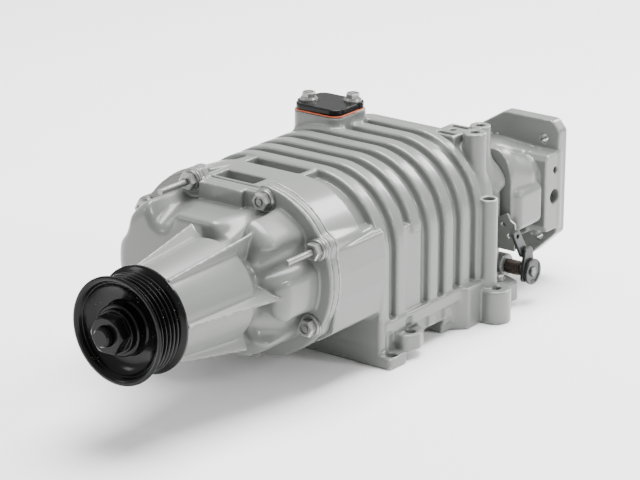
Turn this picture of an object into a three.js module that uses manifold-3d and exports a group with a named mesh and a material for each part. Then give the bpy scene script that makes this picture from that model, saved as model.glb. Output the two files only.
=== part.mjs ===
// Roots-type supercharger for an engine: belt pulley, long ribbed snout, gear cover,
// finned rotor housing with its base, inlet casting with a bypass valve, and the
// shafts, gears, rotors and bearings that run inside.
//
// Millimetres, +Z up. X runs across the two rotors, Y runs from the pulley (front)
// to the inlet flange (rear). While it is drawn, x = 0 lies midway between the two
// rotors, y = 0 is the front rim of the pulley and z = 0 is the plane of both rotor
// axes. At the end the whole part is moved so that its origin is the middle of the
// underside of its bounding box.

import * as THREE from 'three';
import { mergeVertices } from 'three/addons/utils/BufferGeometryUtils.js';
import Module from 'manifold-3d';

const wasm = await Module();
wasm.setup();

// ---------------------------------------------------------------- driving sizes
const CENTRES = 54;                       // distance between the rotor axes
const DRIVE_X = CENTRES / 2;              // drive rotor, snout and pulley axis
const DRIVEN_X = -CENTRES / 2;
const LOBES = 3;
const ROTOR_CLEARANCE = 0.3;              // each rotor profile is drawn in by this
const GAP = 0.3;                          // kept between pieces that touch

const PULLEY_WIDTH = 26.8;
const PULLEY_RIM_R = 33.8;
const BELT_PITCH = 3.56;
const GROOVES = 6;

const SNOUT_FRONT_Y = 30;
const SNOUT_CONE_END_Y = 90;
const GEAR_COVER_FRONT_Y = 102;
const COVER_FACE_Y = 140;                 // rear face of the cover's flange
const COVER_FLANGE = 10;
const PLATE_THICKNESS = 5.4;
const HOUSING_FRONT_Y = 146;
const ROTOR_FRONT_Y = 163;
const ROTOR_REAR_Y = 304;
const REAR_WALL_Y = 306;
const HOUSING_REAR_Y = 350;
const FLANGE_FRONT_Y = 400;
const FLANGE_REAR_Y = 410;

const BORE_R = 36.5;                      // bore in the housing for each rotor
const CASE_R = 43;
const FRONT_CASE_R = 45;
const COVER_R = 42;
const FLANGE_R = 47;
const BOLT_BOSS_R = 7.5;
const BOLT_POINTS = [
  [-28.5, 45.8], [28.5, 45.8], [69, 23.6], [69, -23.6],
  [28.5, -45.8], [-28.5, -45.8], [-69, -23.6], [-69, 23.6],
];
const STUD_POINTS = new Set([0, 2]);      // these two bolts end in long studs
const STUD_LENGTH = 26;

const FIN_COUNT = 7;
const FIN_FIRST_Y = 197;
const FIN_PITCH = 17;
const FIN_THICKNESS = 6;
const FIN_R = 51;

const BASE_Z = -72;
const RAIL_TOP_Z = -58;
const BASE_FRONT_Y = 195;
const BASE_REAR_Y = 327;

const PORT_X = -30;
const PORT_Y = 286;
const PORT_BOSS_Z = 58;

const VALVE_Y = 352;
const VALVE_Z = -49;
const VALVE_BORE_X = 30;
const VALVE_BORE_R = 12.5;
const VALVE_SHAFT_R = 3;
const VALVE_FRONT_Y = 336;
const VALVE_TOP_Z = -28;

// ---------------------------------------------------------------- finishes
const finish = (color, roughness, metalness) => () =>
  new THREE.MeshStandardMaterial({ color, roughness, metalness });
const castPaint = finish(0xa3a8a4, 0.38, 0.15);
const blackGloss = finish(0x111213, 0.22, 0.1);
const zincSteel = finish(0xa9aca8, 0.35, 0.7);
const groundSteel = finish(0xb8bab9, 0.3, 0.9);
const bareAluminium = finish(0xc3c5c6, 0.35, 0.85);
const sealRubber = finish(0x1b1b1c, 0.8, 0);
const gasketRed = finish(0xc25a3a, 0.7, 0);
const darkSteel = finish(0x3a3c3e, 0.45, 0.6);
const springSteel = finish(0x40362e, 0.4, 0.7);

// ---------------------------------------------------------------- solid helpers
function solid(geometry) {
  const bare = geometry.clone();
  bare.deleteAttribute('normal');
  bare.deleteAttribute('uv');
  const merged = mergeVertices(bare, 1e-4);
  const index = merged.index.array;
  const triangles = [];
  for (let i = 0; i < index.length; i += 3) {
    const [a, b, c] = [index[i], index[i + 1], index[i + 2]];
    if (a !== b && b !== c && c !== a) triangles.push(a, b, c);
  }
  const mesh = new wasm.Mesh({
    numProp: 3,
    vertProperties: new Float32Array(merged.attributes.position.array),
    triVerts: new Uint32Array(triangles),
  });
  return new wasm.Manifold(mesh);
}

function geometryOf(body) {
  const mesh = body.getMesh();
  const geometry = new THREE.BufferGeometry();
  geometry.setAttribute('position', new THREE.BufferAttribute(mesh.vertProperties, 3));
  geometry.setIndex(new THREE.BufferAttribute(mesh.triVerts, 1));
  geometry.computeVertexNormals();
  return geometry;
}

const union = (bodies) => bodies.reduce((all, body) => all.add(body));

function box(x0, x1, y0, y1, z0, z1) {
  const geometry = new THREE.BoxGeometry(x1 - x0, y1 - y0, z1 - z0);
  geometry.translate((x0 + x1) / 2, (y0 + y1) / 2, (z0 + z1) / 2);
  return solid(geometry);
}

// A cone or cylinder along Y, from y0 (radius r0) to y1 (radius r1).
function rodY(x, z, y0, y1, r0, r1 = r0, sides = 16) {
  const geometry = new THREE.CylinderGeometry(r1, r0, y1 - y0, sides);
  geometry.translate(x, (y0 + y1) / 2, z);
  return solid(geometry);
}

function rodZ(x, y, z0, z1, r, sides = 14) {
  const geometry = new THREE.CylinderGeometry(r, r, z1 - z0, sides);
  geometry.rotateX(Math.PI / 2);
  geometry.translate(x, y, (z0 + z1) / 2);
  return solid(geometry);
}

function rodX(y, z, x0, x1, r, sides = 14) {
  const geometry = new THREE.CylinderGeometry(r, r, x1 - x0, sides);
  geometry.rotateZ(Math.PI / 2);
  geometry.translate((x0 + x1) / 2, y, z);
  return solid(geometry);
}

// An outline in the XZ plane, drawn out along Y from y0 to y1.
function slabY(shape, y0, y1, curveSegments = 5) {
  const geometry = new THREE.ExtrudeGeometry(shape, {
    depth: y1 - y0,
    bevelEnabled: false,
    curveSegments,
  });
  geometry.rotateX(Math.PI / 2);
  geometry.translate(0, y1, 0);
  return solid(geometry);
}

// An outline in the XY plane, drawn up along Z from z0 to z1.
function slabZ(shape, z0, z1, curveSegments = 2) {
  const geometry = new THREE.ExtrudeGeometry(shape, {
    depth: z1 - z0,
    bevelEnabled: false,
    curveSegments,
  });
  geometry.translate(0, 0, z0);
  return solid(geometry);
}

// A ring or a full turned piece about an axis along Y; the profile's outer side
// runs towards +Y. Points are [radius, y].
function turned(x, z, profile, sides = 20) {
  const points = profile.map(([radius, y]) => new THREE.Vector2(radius, y));
  const geometry = new THREE.LatheGeometry(points, sides);
  geometry.translate(x, 0, z);
  return solid(geometry);
}

function ring(x, z, y0, y1, inner, outer, sides = 16) {
  return turned(x, z, [[inner, y0], [outer, y0], [outer, y1], [inner, y1], [inner, y0]], sides);
}

// Two round lobes joined by straight tangents: the outline of a two-rotor case.
function twinLobe(radius) {
  const shape = new THREE.Shape();
  shape.moveTo(DRIVE_X, -radius);
  shape.absarc(DRIVE_X, 0, radius, -Math.PI / 2, Math.PI / 2, false);
  shape.absarc(DRIVEN_X, 0, radius, Math.PI / 2, 1.5 * Math.PI, false);
  shape.closePath();
  return shape;
}

function roundedRect(x0, x1, y0, y1, radius) {
  const shape = new THREE.Shape();
  shape.moveTo(x0 + radius, y0);
  shape.absarc(x1 - radius, y0 + radius, radius, -Math.PI / 2, 0, false);
  shape.absarc(x1 - radius, y1 - radius, radius, 0, Math.PI / 2, false);
  shape.absarc(x0 + radius, y1 - radius, radius, Math.PI / 2, Math.PI, false);
  shape.absarc(x0 + radius, y0 + radius, radius, Math.PI, 1.5 * Math.PI, false);
  shape.closePath();
  return shape;
}

const boltBosses = (y0, y1) => union(
  BOLT_POINTS.map(([x, z]) => rodY(x, z, y0, y1, BOLT_BOSS_R, BOLT_BOSS_R, 12)));
const boltHoles = (y0, y1, radius) => union(
  BOLT_POINTS.map(([x, z]) => rodY(x, z, y0, y1, radius, radius, 8)));

// Room in the cover's walls for the heads of the bolts on its flange.
const boltSpotFaces = () => union(BOLT_POINTS.map(
  ([x, z]) => rodY(x, z, 117, COVER_FACE_Y - COVER_FLANGE, 7.8, 7.8, 12)));

// ---------------------------------------------------------------- drive line
function pulley() {
  const beltFront = 4.2;
  const crestR = 31.1;
  const rootR = crestR - 2.3;
  const outer = [[PULLEY_RIM_R - 1, 0], [PULLEY_RIM_R, 1], [PULLEY_RIM_R, 2.2]];
  for (let i = 0; i < GROOVES; i += 1) {
    const start = beltFront - BELT_PITCH / 2 + i * BELT_PITCH;
    outer.push([crestR, start + 0.5]);
    outer.push([rootR, start + BELT_PITCH / 2]);
  }
  const beltRear = beltFront - BELT_PITCH / 2 + GROOVES * BELT_PITCH;
  outer.push([crestR, beltRear + 0.4]);
  outer.push([PULLEY_RIM_R - 0.6, beltRear + 1.4]);
  outer.push([PULLEY_RIM_R - 0.6, PULLEY_WIDTH]);
  const profile = [
    [8.8, 1.5], [14, 1.5], [17, 7], [27, 7], [29, 0.8],
    ...outer,
    [28.6, PULLEY_WIDTH], [25.5, 12], [14, 12], [13, 25], [8.8, 25], [8.8, 1.5],
  ];
  return turned(DRIVE_X, 0, profile, 28);
}

function pulleyNut() {
  const across = 12.7;
  const hex = rodY(DRIVE_X, 0, -9.5, 1, across, across, 6);
  const washer = rodY(DRIVE_X, 0, -1.5, 1.2, 13.6, 13.6, 24);
  const bore = rodY(DRIVE_X, 0, -12, 3, 6.3);
  return hex.add(washer).subtract(bore);
}

function inputShaft() {
  return turned(DRIVE_X, 0, [
    [0, -14.5], [5, -14.5], [6, -13.4], [6, 1.4], [8.5, 1.4], [8.5, 99.5], [0, 99.5],
  ], 24);
}

const snoutBearing = (y) => ring(DRIVE_X, 0, y, y + 12, 8.8, 19.7);
const shaftSeal = () => ring(DRIVE_X, 0, 30.6, 34.6, 8.8, 18.2);

function couplingDisc() {
  const disc = rodY(DRIVE_X, 0, 99.8, 106, 19, 19, 30);
  const pins = [0, 1, 2].map((i) => {
    const angle = Math.PI / 2 + (i * 2 * Math.PI) / 3;
    return rodY(DRIVE_X + 13 * Math.cos(angle), 13 * Math.sin(angle), 105, 113.5, 2.4, 2.4, 12);
  });
  return union([disc, ...pins]);
}

// Timing gears: equal, so the rotors turn at the same speed in opposite senses.
const GEAR_TEETH = 30;
const GEAR_MODULE = CENTRES / GEAR_TEETH;
function timingGear(x, turn, driveHoles) {
  const pitchR = (GEAR_TEETH * GEAR_MODULE) / 2;
  const tipR = pitchR + 0.85 * GEAR_MODULE;
  const rootR = pitchR - 1.15 * GEAR_MODULE;
  const step = (2 * Math.PI) / GEAR_TEETH;
  const corners = [[-0.36, rootR], [-0.13, tipR], [0.13, tipR], [0.36, rootR]];
  const shape = new THREE.Shape();
  for (let tooth = 0; tooth < GEAR_TEETH; tooth += 1) {
    corners.forEach(([part, radius], corner) => {
      const angle = turn + (tooth + part) * step;
      const [px, pz] = [x + radius * Math.cos(angle), radius * Math.sin(angle)];
      if (tooth === 0 && corner === 0) shape.moveTo(px, pz);
      else shape.lineTo(px, pz);
    });
  }
  shape.closePath();
  let gear = slabY(shape, 118, 131);
  const hub = rodY(x, 0, 112, 137, 14, 14, 24);
  gear = gear.add(hub).subtract(rodY(x, 0, 108, 139, 8.8, 8.8, 24));
  if (driveHoles) {
    const holes = [0, 1, 2].map((i) => {
      const angle = Math.PI / 2 + (i * 2 * Math.PI) / 3;
      return rodY(x + 13 * Math.cos(angle), 13 * Math.sin(angle), 106, 116, 2.8, 2.8, 12);
    });
    gear = gear.add(rodY(x, 0, 107, 118.5, 19, 19, 30).subtract(rodY(x, 0, 106, 120, 8.8, 8.8, 24)));
    gear = gear.subtract(union(holes));
  }
  return gear;
}

// Cycloidal profile: epicycloid tips outside the pitch circle, hypocycloid roots
// inside it, so that two equal rotors roll on each other.
function rotorOutline(turn) {
  const pitchR = CENTRES / 2;
  const roll = pitchR / (2 * LOBES);
  const arc = Math.PI / LOBES;
  const steps = 8;
  const points = [];
  for (let half = 0; half < 2 * LOBES; half += 1) {
    const outside = half % 2 === 0;
    for (let i = 0; i < steps; i += 1) {
      const t = (i / steps) * arc;
      const centreR = outside ? pitchR + roll : pitchR - roll;
      const ratio = centreR / roll;
      const dx = outside ? -roll * Math.cos(ratio * t) : roll * Math.cos(ratio * t);
      const dy = -roll * Math.sin(ratio * t);
      const x = centreR * Math.cos(t) + dx;
      const y = centreR * Math.sin(t) + dy;
      const angle = turn + half * arc - arc / 2;
      points.push(new THREE.Vector2(
        x * Math.cos(angle) - y * Math.sin(angle),
        x * Math.sin(angle) + y * Math.cos(angle)));
    }
  }
  return points.map((point, i) => {
    const before = points[(i + points.length - 1) % points.length];
    const after = points[(i + 1) % points.length];
    const along = after.clone().sub(before).normalize();
    return new THREE.Vector2(point.x - along.y * ROTOR_CLEARANCE, point.y + along.x * ROTOR_CLEARANCE);
  });
}

function rotor(x, turn, twist, shaftFront) {
  const length = ROTOR_REAR_Y - ROTOR_FRONT_Y;
  const geometry = new THREE.ExtrudeGeometry(new THREE.Shape(rotorOutline(turn)), {
    depth: length,
    steps: 9,
    bevelEnabled: false,
  });
  const position = geometry.attributes.position;
  for (let i = 0; i < position.count; i += 1) {
    const angle = (twist * position.getZ(i)) / length;
    const [px, py] = [position.getX(i), position.getY(i)];
    position.setXY(i, px * Math.cos(angle) - py * Math.sin(angle), px * Math.sin(angle) + py * Math.cos(angle));
  }
  geometry.rotateX(Math.PI / 2);
  geometry.translate(x, ROTOR_REAR_Y, 0);
  const lobes = solid(geometry);
  const shaft = turned(x, 0, [
    [0, shaftFront], [8.5, shaftFront], [8.5, 158.5], [12, 158.5], [12, 305],
    [6.5, 305], [6.5, 317], [0, 317],
  ], 24);
  return lobes.add(shaft);
}

const frontBearing = (x) => ring(x, 0, 147, 158, 8.8, 19.7);
const rearBearing = (x) => ring(x, 0, 307, 317, 6.8, 12.7);

// ---------------------------------------------------------------- front cover
function finBlade(turn) {
  const shape = new THREE.Shape();
  shape.moveTo(24, SNOUT_FRONT_Y + 1);
  shape.lineTo(31, SNOUT_FRONT_Y + 2);
  shape.lineTo(43, 98);
  shape.lineTo(44, 110);
  shape.lineTo(24, 110);
  shape.closePath();
  const blade = new THREE.ExtrudeGeometry(shape, { depth: 4.4, bevelEnabled: false });
  blade.translate(0, 0, -2.2);
  blade.rotateY(-turn);
  blade.translate(DRIVE_X, 0, 0);
  return solid(blade);
}

function frontCover() {
  const cone = rodY(DRIVE_X, 0, SNOUT_FRONT_Y, SNOUT_CONE_END_Y, 29, 32.5, 24);
  const neck = rodY(DRIVE_X, 0, SNOUT_CONE_END_Y - 1, 106, 27, 30, 24);
  const blades = [0, 1, 2, 3, 4, 5].map((i) => finBlade((i * Math.PI) / 3));
  const gearCase = slabY(twinLobe(COVER_R), GEAR_COVER_FRONT_Y + 5, COVER_FACE_Y);
  const gearCaseFront = slabY(twinLobe(COVER_R - 5), GEAR_COVER_FRONT_Y, GEAR_COVER_FRONT_Y + 6);
  const flange = slabY(twinLobe(FLANGE_R), COVER_FACE_Y - COVER_FLANGE, COVER_FACE_Y);
  const topBlock = box(-18, 15, 132, COVER_FACE_Y, 38, 50);
  const outside = union([
    cone, neck, ...blades, gearCase, gearCaseFront, flange, topBlock,
    boltBosses(COVER_FACE_Y - COVER_FLANGE, COVER_FACE_Y),
  ]);
  const cavity = slabY(twinLobe(COVER_R - 4.5), GEAR_COVER_FRONT_Y + 9, COVER_FACE_Y + 1);
  const driveWell = rodY(DRIVE_X, 0, 93, 115, 21, 21, 20);
  const bearingBore = rodY(DRIVE_X, 0, 34.8, 94, 20, 20, 20);
  const sealBore = rodY(DRIVE_X, 0, SNOUT_FRONT_Y - 1, 36, 18.5, 18.5, 20);
  return outside
    .subtract(union([cavity, driveWell, bearingBore, sealBore]))
    .subtract(boltHoles(120, COVER_FACE_Y + 1, 3.4))
    .subtract(boltSpotFaces())
    .subtract(rodX(118, 8, -80, -60, 4.6, 16));
}

const bearingSpacer = () => ring(DRIVE_X, 0, 47.6, 77.2, 16, 19.6);

function fillPlug() {
  const thread = rodX(118, 8, -69, -62, 4.2, 16);
  const head = rodX(118, 8, -73.5, -69, 6.4, 6);
  return thread.add(head);
}

// ---------------------------------------------------------------- bearing plate
function bearingPlate() {
  const front = COVER_FACE_Y + GAP;
  const flange = slabY(twinLobe(FLANGE_R), front, front + PLATE_THICKNESS)
    .add(boltBosses(front, front + PLATE_THICKNESS));
  const plug = slabY(twinLobe(BORE_R - 0.4), front + 1, 160);
  const bores = union([DRIVE_X, DRIVEN_X].map((x) => union([
    rodY(x, 0, 146.7, 162, 20, 20, 20),
    rodY(x, 0, 139, 148, 15, 15, 16),
  ])));
  return flange.add(plug).subtract(bores).subtract(boltHoles(139, 147, 3.4));
}

// ---------------------------------------------------------------- rotor housing
function baseOutline() {
  const half = new THREE.Shape();
  const right = [
    [86, BASE_FRONT_Y], [86, 214], [74, 214], [74, 222], [81, 224], [81, 241], [74, 243],
    [72, 268], [72, 287], [88, 287], [88, BASE_REAR_Y],
  ];
  half.moveTo(right[0][0], right[0][1]);
  right.slice(1).forEach(([x, y]) => half.lineTo(x, y));
  right.slice().reverse().forEach(([x, y]) => half.lineTo(-x, y));
  half.closePath();
  return half;
}

function rotorHousing() {
  const front = slabY(twinLobe(FRONT_CASE_R), HOUSING_FRONT_Y, BASE_FRONT_Y + 2);
  const frontFlange = slabY(twinLobe(FLANGE_R), HOUSING_FRONT_Y, HOUSING_FRONT_Y + 6);
  const middle = slabY(twinLobe(CASE_R), BASE_FRONT_Y, REAR_WALL_Y + 14);
  const fins = Array.from({ length: FIN_COUNT }, (unused, i) => {
    const y = FIN_FIRST_Y + i * FIN_PITCH;
    return slabY(twinLobe(FIN_R), y - FIN_THICKNESS / 2, y + FIN_THICKNESS / 2);
  });
  const land = box(-20, 27, HOUSING_FRONT_Y, FIN_FIRST_Y, 36, 50);
  const skirt = box(-74, 74, BASE_FRONT_Y, BASE_REAR_Y, RAIL_TOP_Z - 1, -20);
  const frontWall = box(-84, 84, BASE_FRONT_Y, BASE_FRONT_Y + 6, RAIL_TOP_Z - 1, -6);
  const base = slabZ(baseOutline(), BASE_Z, RAIL_TOP_Z);
  const rearBody = slabY(roundedRect(-50, 68, -58, 47, 14), REAR_WALL_Y - 2, HOUSING_REAR_Y, 3);
  const posts = union([
    rodZ(61, 323, -20, 50, 8), rodZ(55, 338, -20, 50, 8),
    rodZ(80, 312, -60, 11, 8.5), rodZ(87, 316, BASE_Z, -51, 11),
    rodZ(-80, 312, -60, 11, 8.5), rodZ(-87, 316, BASE_Z, -51, 11),
    box(66, 80, 306, 318, -60, 8), box(-80, -48, 306, 318, -60, 8),
  ]);
  const portBoss = slabZ(roundedRect(PORT_X - 19, PORT_X + 19, PORT_Y - 17, PORT_Y + 17, 6), 30, PORT_BOSS_Z);
  const outside = union([
    front, frontFlange, boltBosses(HOUSING_FRONT_Y, HOUSING_FRONT_Y + 16), middle, ...fins,
    land, skirt, frontWall, base, rearBody, posts, portBoss,
  ]);
  const bores = union([DRIVE_X, DRIVEN_X].map(
    (x) => rodY(x, 0, HOUSING_FRONT_Y - 1, REAR_WALL_Y, BORE_R, BORE_R, 24)));
  const plugSeat = slabY(twinLobe(BORE_R), HOUSING_FRONT_Y - 1, 161);
  const outlet = slabZ(roundedRect(-32, 32, 204, 290, 6), BASE_Z - 1, -20, 4);
  const inlet = union([
    box(-32, 54, 320, HOUSING_REAR_Y + 1, -24, 32),
    box(-26, 26, REAR_WALL_Y - 1, 322, 15, 33),
  ]);
  const bearingBores = union([DRIVE_X, DRIVEN_X].map((x) => rodY(x, 0, 305, 318, 13, 13, 16)));
  const portBore = rodZ(PORT_X, PORT_Y, 34, PORT_BOSS_Z + 1, 10, 20);
  const pockets = union([box(-17, 14, 148, 162, 42, 60), box(-19, 24, 182, 194, 42, 60)]);
  const valveSeat = union([
    box(-60, 70, VALVE_FRONT_Y - GAP, HOUSING_REAR_Y + 1, -70, VALVE_TOP_Z + GAP),
    box(22, 38, 338, 349, VALVE_TOP_Z - 1, -23),
  ]);
  const footHoles = union([
    [78, 204], [76, 232], [80, 296], [87, 316],
  ].flatMap(([x, y]) => [
    rodZ(x, y, BASE_Z - 1, -40, 3.4, 8), rodZ(-x, y, BASE_Z - 1, -40, 3.4, 8),
  ]));
  const postHoles = union([
    rodZ(61, 323, 30, 51, 3, 8), rodZ(55, 338, 30, 51, 3, 8),
    rodZ(80, 312, -10, 12, 5.5, 12), rodZ(-80, 312, -10, 12, 5.5, 12),
  ]);
  const plateBolts = boltHoles(HOUSING_FRONT_Y - 1, HOUSING_FRONT_Y + 14, 3.4);
  const coverHoles = union(
    PORT_BOLTS.map(([x, y]) => rodZ(x, y, 44, PORT_BOSS_Z + 1, 3.1, 8)));
  const elbowHoles = union(
    ELBOW_BOLTS.map(([x, z]) => rodY(x, z, 336, HOUSING_REAR_Y + 1, 3.1, 3.1, 8)));
  return [
    bores, plugSeat, outlet, inlet, bearingBores, portBore, pockets, valveSeat,
    footHoles, postHoles, plateBolts, coverHoles, elbowHoles,
  ].reduce((body, cut) => body.subtract(cut), outside);
}

// ---------------------------------------------------------------- inlet elbow
const ELBOW_BOLTS = [[-40, 34], [8, 34], [58, 34], [-40, -18]];
const INLET_FLANGE = { x0: 3, x1: 77, z0: -57, z1: 44 };

function inletElbow() {
  const start = HOUSING_REAR_Y + GAP;
  const seat = slabY(roundedRect(-48, 67, -26, 42, 9), start, start + 8, 2);
  const duct = slabY(roundedRect(2, 72, -24, 16, 12), start, FLANGE_FRONT_Y + 2, 3);
  const { x0, x1, z0, z1 } = INLET_FLANGE;
  const plate = slabY(roundedRect(x0, x1, z0, z1, 14), FLANGE_FRONT_Y, FLANGE_REAR_Y, 3);
  const pad = box(58, x1, 385, FLANGE_FRONT_Y + 1, -33, 17);
  const gusset = slabY(roundedRect(20, 60, -40, 34, 8), 384, FLANGE_FRONT_Y + 1, 2);
  const bore = slabY(roundedRect(8, 54, -19, 11, 9), start - 1, FLANGE_REAR_Y + 1, 3);
  const corners = union([
    [x0 + 10, z1 - 11], [x1 - 11, z1 - 11], [x0 + 10, z0 + 11], [x1 - 13, z0 + 11],
  ].map(([x, z]) => rodY(x, z, FLANGE_FRONT_Y - 1, FLANGE_REAR_Y + 1, 3.4, 3.4, 10)));
  const padHoles = union([rodX(392, 9, 66, 78, 2.2, 12), rodX(391, -8, 64, 78, 5, 16)]);
  const seatHoles = union(
    ELBOW_BOLTS.map(([x, z]) => rodY(x, z, start - 1, start + 9, 3.4, 3.4, 8)));
  return union([seat, duct, plate, pad, gusset])
    .subtract(union([bore, corners, padHoles, seatHoles]));
}

// ---------------------------------------------------------------- fasteners
// Flanged hex bolt pointing along +Y, head towards the front at y.
function flangedBolt(x, z, y, length, studLength) {
  const parts = [
    rodY(x, z, y - 2, y, 7.1, 7.1, 12),
    rodY(x, z, y - 7.5, y - 1.5, 5.75, 5.75, 6),
    rodY(x, z, y - 0.5, y + length, 2.9, 2.9, 8),
  ];
  if (studLength) parts.push(rodY(x, z, y - 7.5 - studLength, y - 7, 2.1, 2.1, 8));
  return union(parts);
}

function uprightBolt(x, y, z, length) {
  return union([
    rodZ(x, y, z, z + 2, 6.4, 12),
    rodZ(x, y, z + 1.5, z + 7, 5.3, 6),
    rodZ(x, y, z - length, z + 0.5, 2.8, 8),
  ]);
}

function rearwardScrew(x, z, y) {
  return union([
    rodY(x, z, y, y + 6, 5.3, 5.3, 6),
    rodY(x, z, y - 14, y + 0.5, 2.8, 2.8, 8),
  ]);
}

// ---------------------------------------------------------------- top port
const PORT_BOLTS = [[PORT_X - 13, PORT_Y - 6], [PORT_X + 13, PORT_Y + 6]];
function portPlate(z0, z1, grow, boreR) {
  const shape = roundedRect(
    PORT_X - 19 - grow, PORT_X + 19 + grow, PORT_Y - 17 - grow, PORT_Y + 17 + grow, 6 + grow);
  let plate = slabZ(shape, z0, z1, 3);
  if (boreR) plate = plate.subtract(rodZ(PORT_X, PORT_Y, z0 - 1, z1 + 1, boreR, 20));
  return plate.subtract(union(
    PORT_BOLTS.map(([x, y]) => rodZ(x, y, z0 - 1, z1 + 1, 3.2, 8))));
}

// ---------------------------------------------------------------- bypass valve
const LEVER_X = 84;

// Small casting under the inlet: its bore leads from the outlet side up to the inlet.
function bypassBody() {
  const block = box(8, 52, VALVE_FRONT_Y, 368, -64, VALVE_TOP_Z);
  const boss = rodX(VALVE_Y, VALVE_Z, 50, 69, 8);
  const bore = rodZ(VALVE_BORE_X, VALVE_Y, -65, -34, VALVE_BORE_R, 20);
  const passage = box(22, 38, 338, 349, -36, VALVE_TOP_Z + 1);
  const shaftHole = rodX(VALVE_Y, VALVE_Z, 12, 70, VALVE_SHAFT_R + 0.4, 12);
  return block.add(boss).subtract(union([bore, passage, shaftHole]));
}

function bypassShaft() {
  return rodX(VALVE_Y, VALVE_Z, 14, 90.5, VALVE_SHAFT_R)
    .subtract(box(18.6, 41.4, VALVE_Y - 4, VALVE_Y + 4, VALVE_Z - 0.9, VALVE_Z + 0.9));
}

// The disc lies in a slot through the shaft; closed, it spans the bore.
function bypassDisc() {
  const disc = rodZ(VALVE_BORE_X, VALVE_Y, VALVE_Z - 0.6, VALVE_Z + 0.6, VALVE_BORE_R - 1.4, 28);
  return disc.intersect(box(18.9, 41.1, 330, 370, -60, -40));
}

function leverPlate() {
  const shape = new THREE.Shape();
  shape.absarc(0, -3, 7.5, Math.PI, 2 * Math.PI, false);
  shape.lineTo(4.5, 13);
  shape.absarc(0, 13, 4.5, 0, Math.PI, false);
  shape.closePath();
  const plate = new THREE.ExtrudeGeometry(shape, { depth: 2.4, bevelEnabled: false, curveSegments: 8 });
  plate.rotateX(Math.PI / 2);
  plate.rotateZ(Math.PI / 2);
  plate.translate(LEVER_X, VALVE_Y, VALVE_Z);
  return solid(plate).subtract(rodX(VALVE_Y, VALVE_Z, 70, 100, VALVE_SHAFT_R + GAP));
}

function leverArm() {
  const shape = new THREE.Shape();
  shape.moveTo(-4, 9.5);
  shape.lineTo(4, 9.5);
  shape.lineTo(-8, 30);
  shape.lineTo(-15, 28);
  shape.closePath();
  const arm = new THREE.ExtrudeGeometry(shape, { depth: 2.6, bevelEnabled: false });
  arm.rotateX(Math.PI / 2);
  arm.rotateZ(Math.PI / 2);
  arm.translate(LEVER_X - 3, VALVE_Y, VALVE_Z);
  return solid(arm).subtract(rodX(VALVE_Y - 10, VALVE_Z + 26, 70, 100, 1.6, 12));
}

const leverWheel = () => rodX(VALVE_Y + 2, VALVE_Z - 1, LEVER_X + 2.7, LEVER_X + 5.2, 8.8, 28)
  .subtract(rodX(VALVE_Y, VALVE_Z, 70, 100, VALVE_SHAFT_R + GAP));

function returnSpring() {
  const tube = rodX(VALVE_Y, VALVE_Z, 69.5, 80.5, 5.2, 18);
  return tube.subtract(rodX(VALVE_Y, VALVE_Z, 60, 85, 3.8, 18));
}

// ---------------------------------------------------------------- assembly
const part = new THREE.Group();
function place(name, body, material) {
  const mesh = new THREE.Mesh(geometryOf(body), material());
  mesh.name = name;
  part.add(mesh);
}

place('pulley', pulley(), blackGloss);
place('pulley_nut', pulleyNut(), blackGloss);
place('input_shaft', inputShaft(), groundSteel);
place('shaft_seal', shaftSeal(), sealRubber);
place('snout_bearing_front', snoutBearing(35.2), groundSteel);
place('bearing_spacer', bearingSpacer(), groundSteel);
place('snout_bearing_rear', snoutBearing(77.5), groundSteel);
place('front_cover', frontCover(), castPaint);
place('oil_fill_plug', fillPlug(), zincSteel);
place('coupling_disc', couplingDisc(), darkSteel);
place('drive_gear', timingGear(DRIVE_X, 0, true), groundSteel);
place('driven_gear', timingGear(DRIVEN_X, Math.PI / GEAR_TEETH, false), groundSteel);
place('bearing_plate', bearingPlate(), bareAluminium);
const TWIST = Math.PI / 3;
place('drive_rotor', rotor(DRIVE_X, Math.PI / 2, TWIST, 108), bareAluminium);
place('driven_rotor', rotor(DRIVEN_X, Math.PI / 2 + Math.PI / LOBES, -TWIST, 113), bareAluminium);
for (const [side, x] of [['drive', DRIVE_X], ['driven', DRIVEN_X]]) {
  place(`${side}_front_bearing`, frontBearing(x), groundSteel);
  place(`${side}_rear_bearing`, rearBearing(x), groundSteel);
}
place('rotor_housing', rotorHousing(), castPaint);
place('inlet_elbow', inletElbow(), castPaint);

BOLT_POINTS.forEach(([x, z], i) => {
  const stud = STUD_POINTS.has(i);
  const y = COVER_FACE_Y - COVER_FLANGE - GAP;
  const name = stud ? `stud_bolt_${i + 1}` : `cover_bolt_${i + 1}`;
  place(name, flangedBolt(x, z, y, 26, stud ? STUD_LENGTH : 0), zincSteel);
});

place('port_gasket', portPlate(PORT_BOSS_Z + 0.1, PORT_BOSS_Z + 0.9, 0.6, 10), gasketRed);
place('port_cover', portPlate(PORT_BOSS_Z + 1.2, PORT_BOSS_Z + 5.2, 0, 0), blackGloss);
PORT_BOLTS.forEach(([x, y], i) => {
  place(`port_bolt_${i + 1}`, uprightBolt(x, y, PORT_BOSS_Z + 5.5, 18), darkSteel);
});
ELBOW_BOLTS.forEach(([x, z], i) => {
  place(`elbow_screw_${i + 1}`, rearwardScrew(x, z, HOUSING_REAR_Y + GAP + 8.3), zincSteel);
});

place('bypass_body', bypassBody(), castPaint);
place('bypass_shaft', bypassShaft(), groundSteel);
place('bypass_disc', bypassDisc(), bareAluminium);
place('bypass_lever', leverPlate(), darkSteel);
place('bypass_arm', leverArm(), blackGloss);
place('lever_wheel', leverWheel(), darkSteel);
place('return_spring', returnSpring(), springSteel);

// Move the part so that its origin is the middle of the underside of its box.
part.updateMatrixWorld(true);
const bounds = new THREE.Box3().setFromObject(part);
const middle = bounds.getCenter(new THREE.Vector3());
part.position.set(-middle.x, -middle.y, -bounds.min.z);

export default part;
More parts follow.
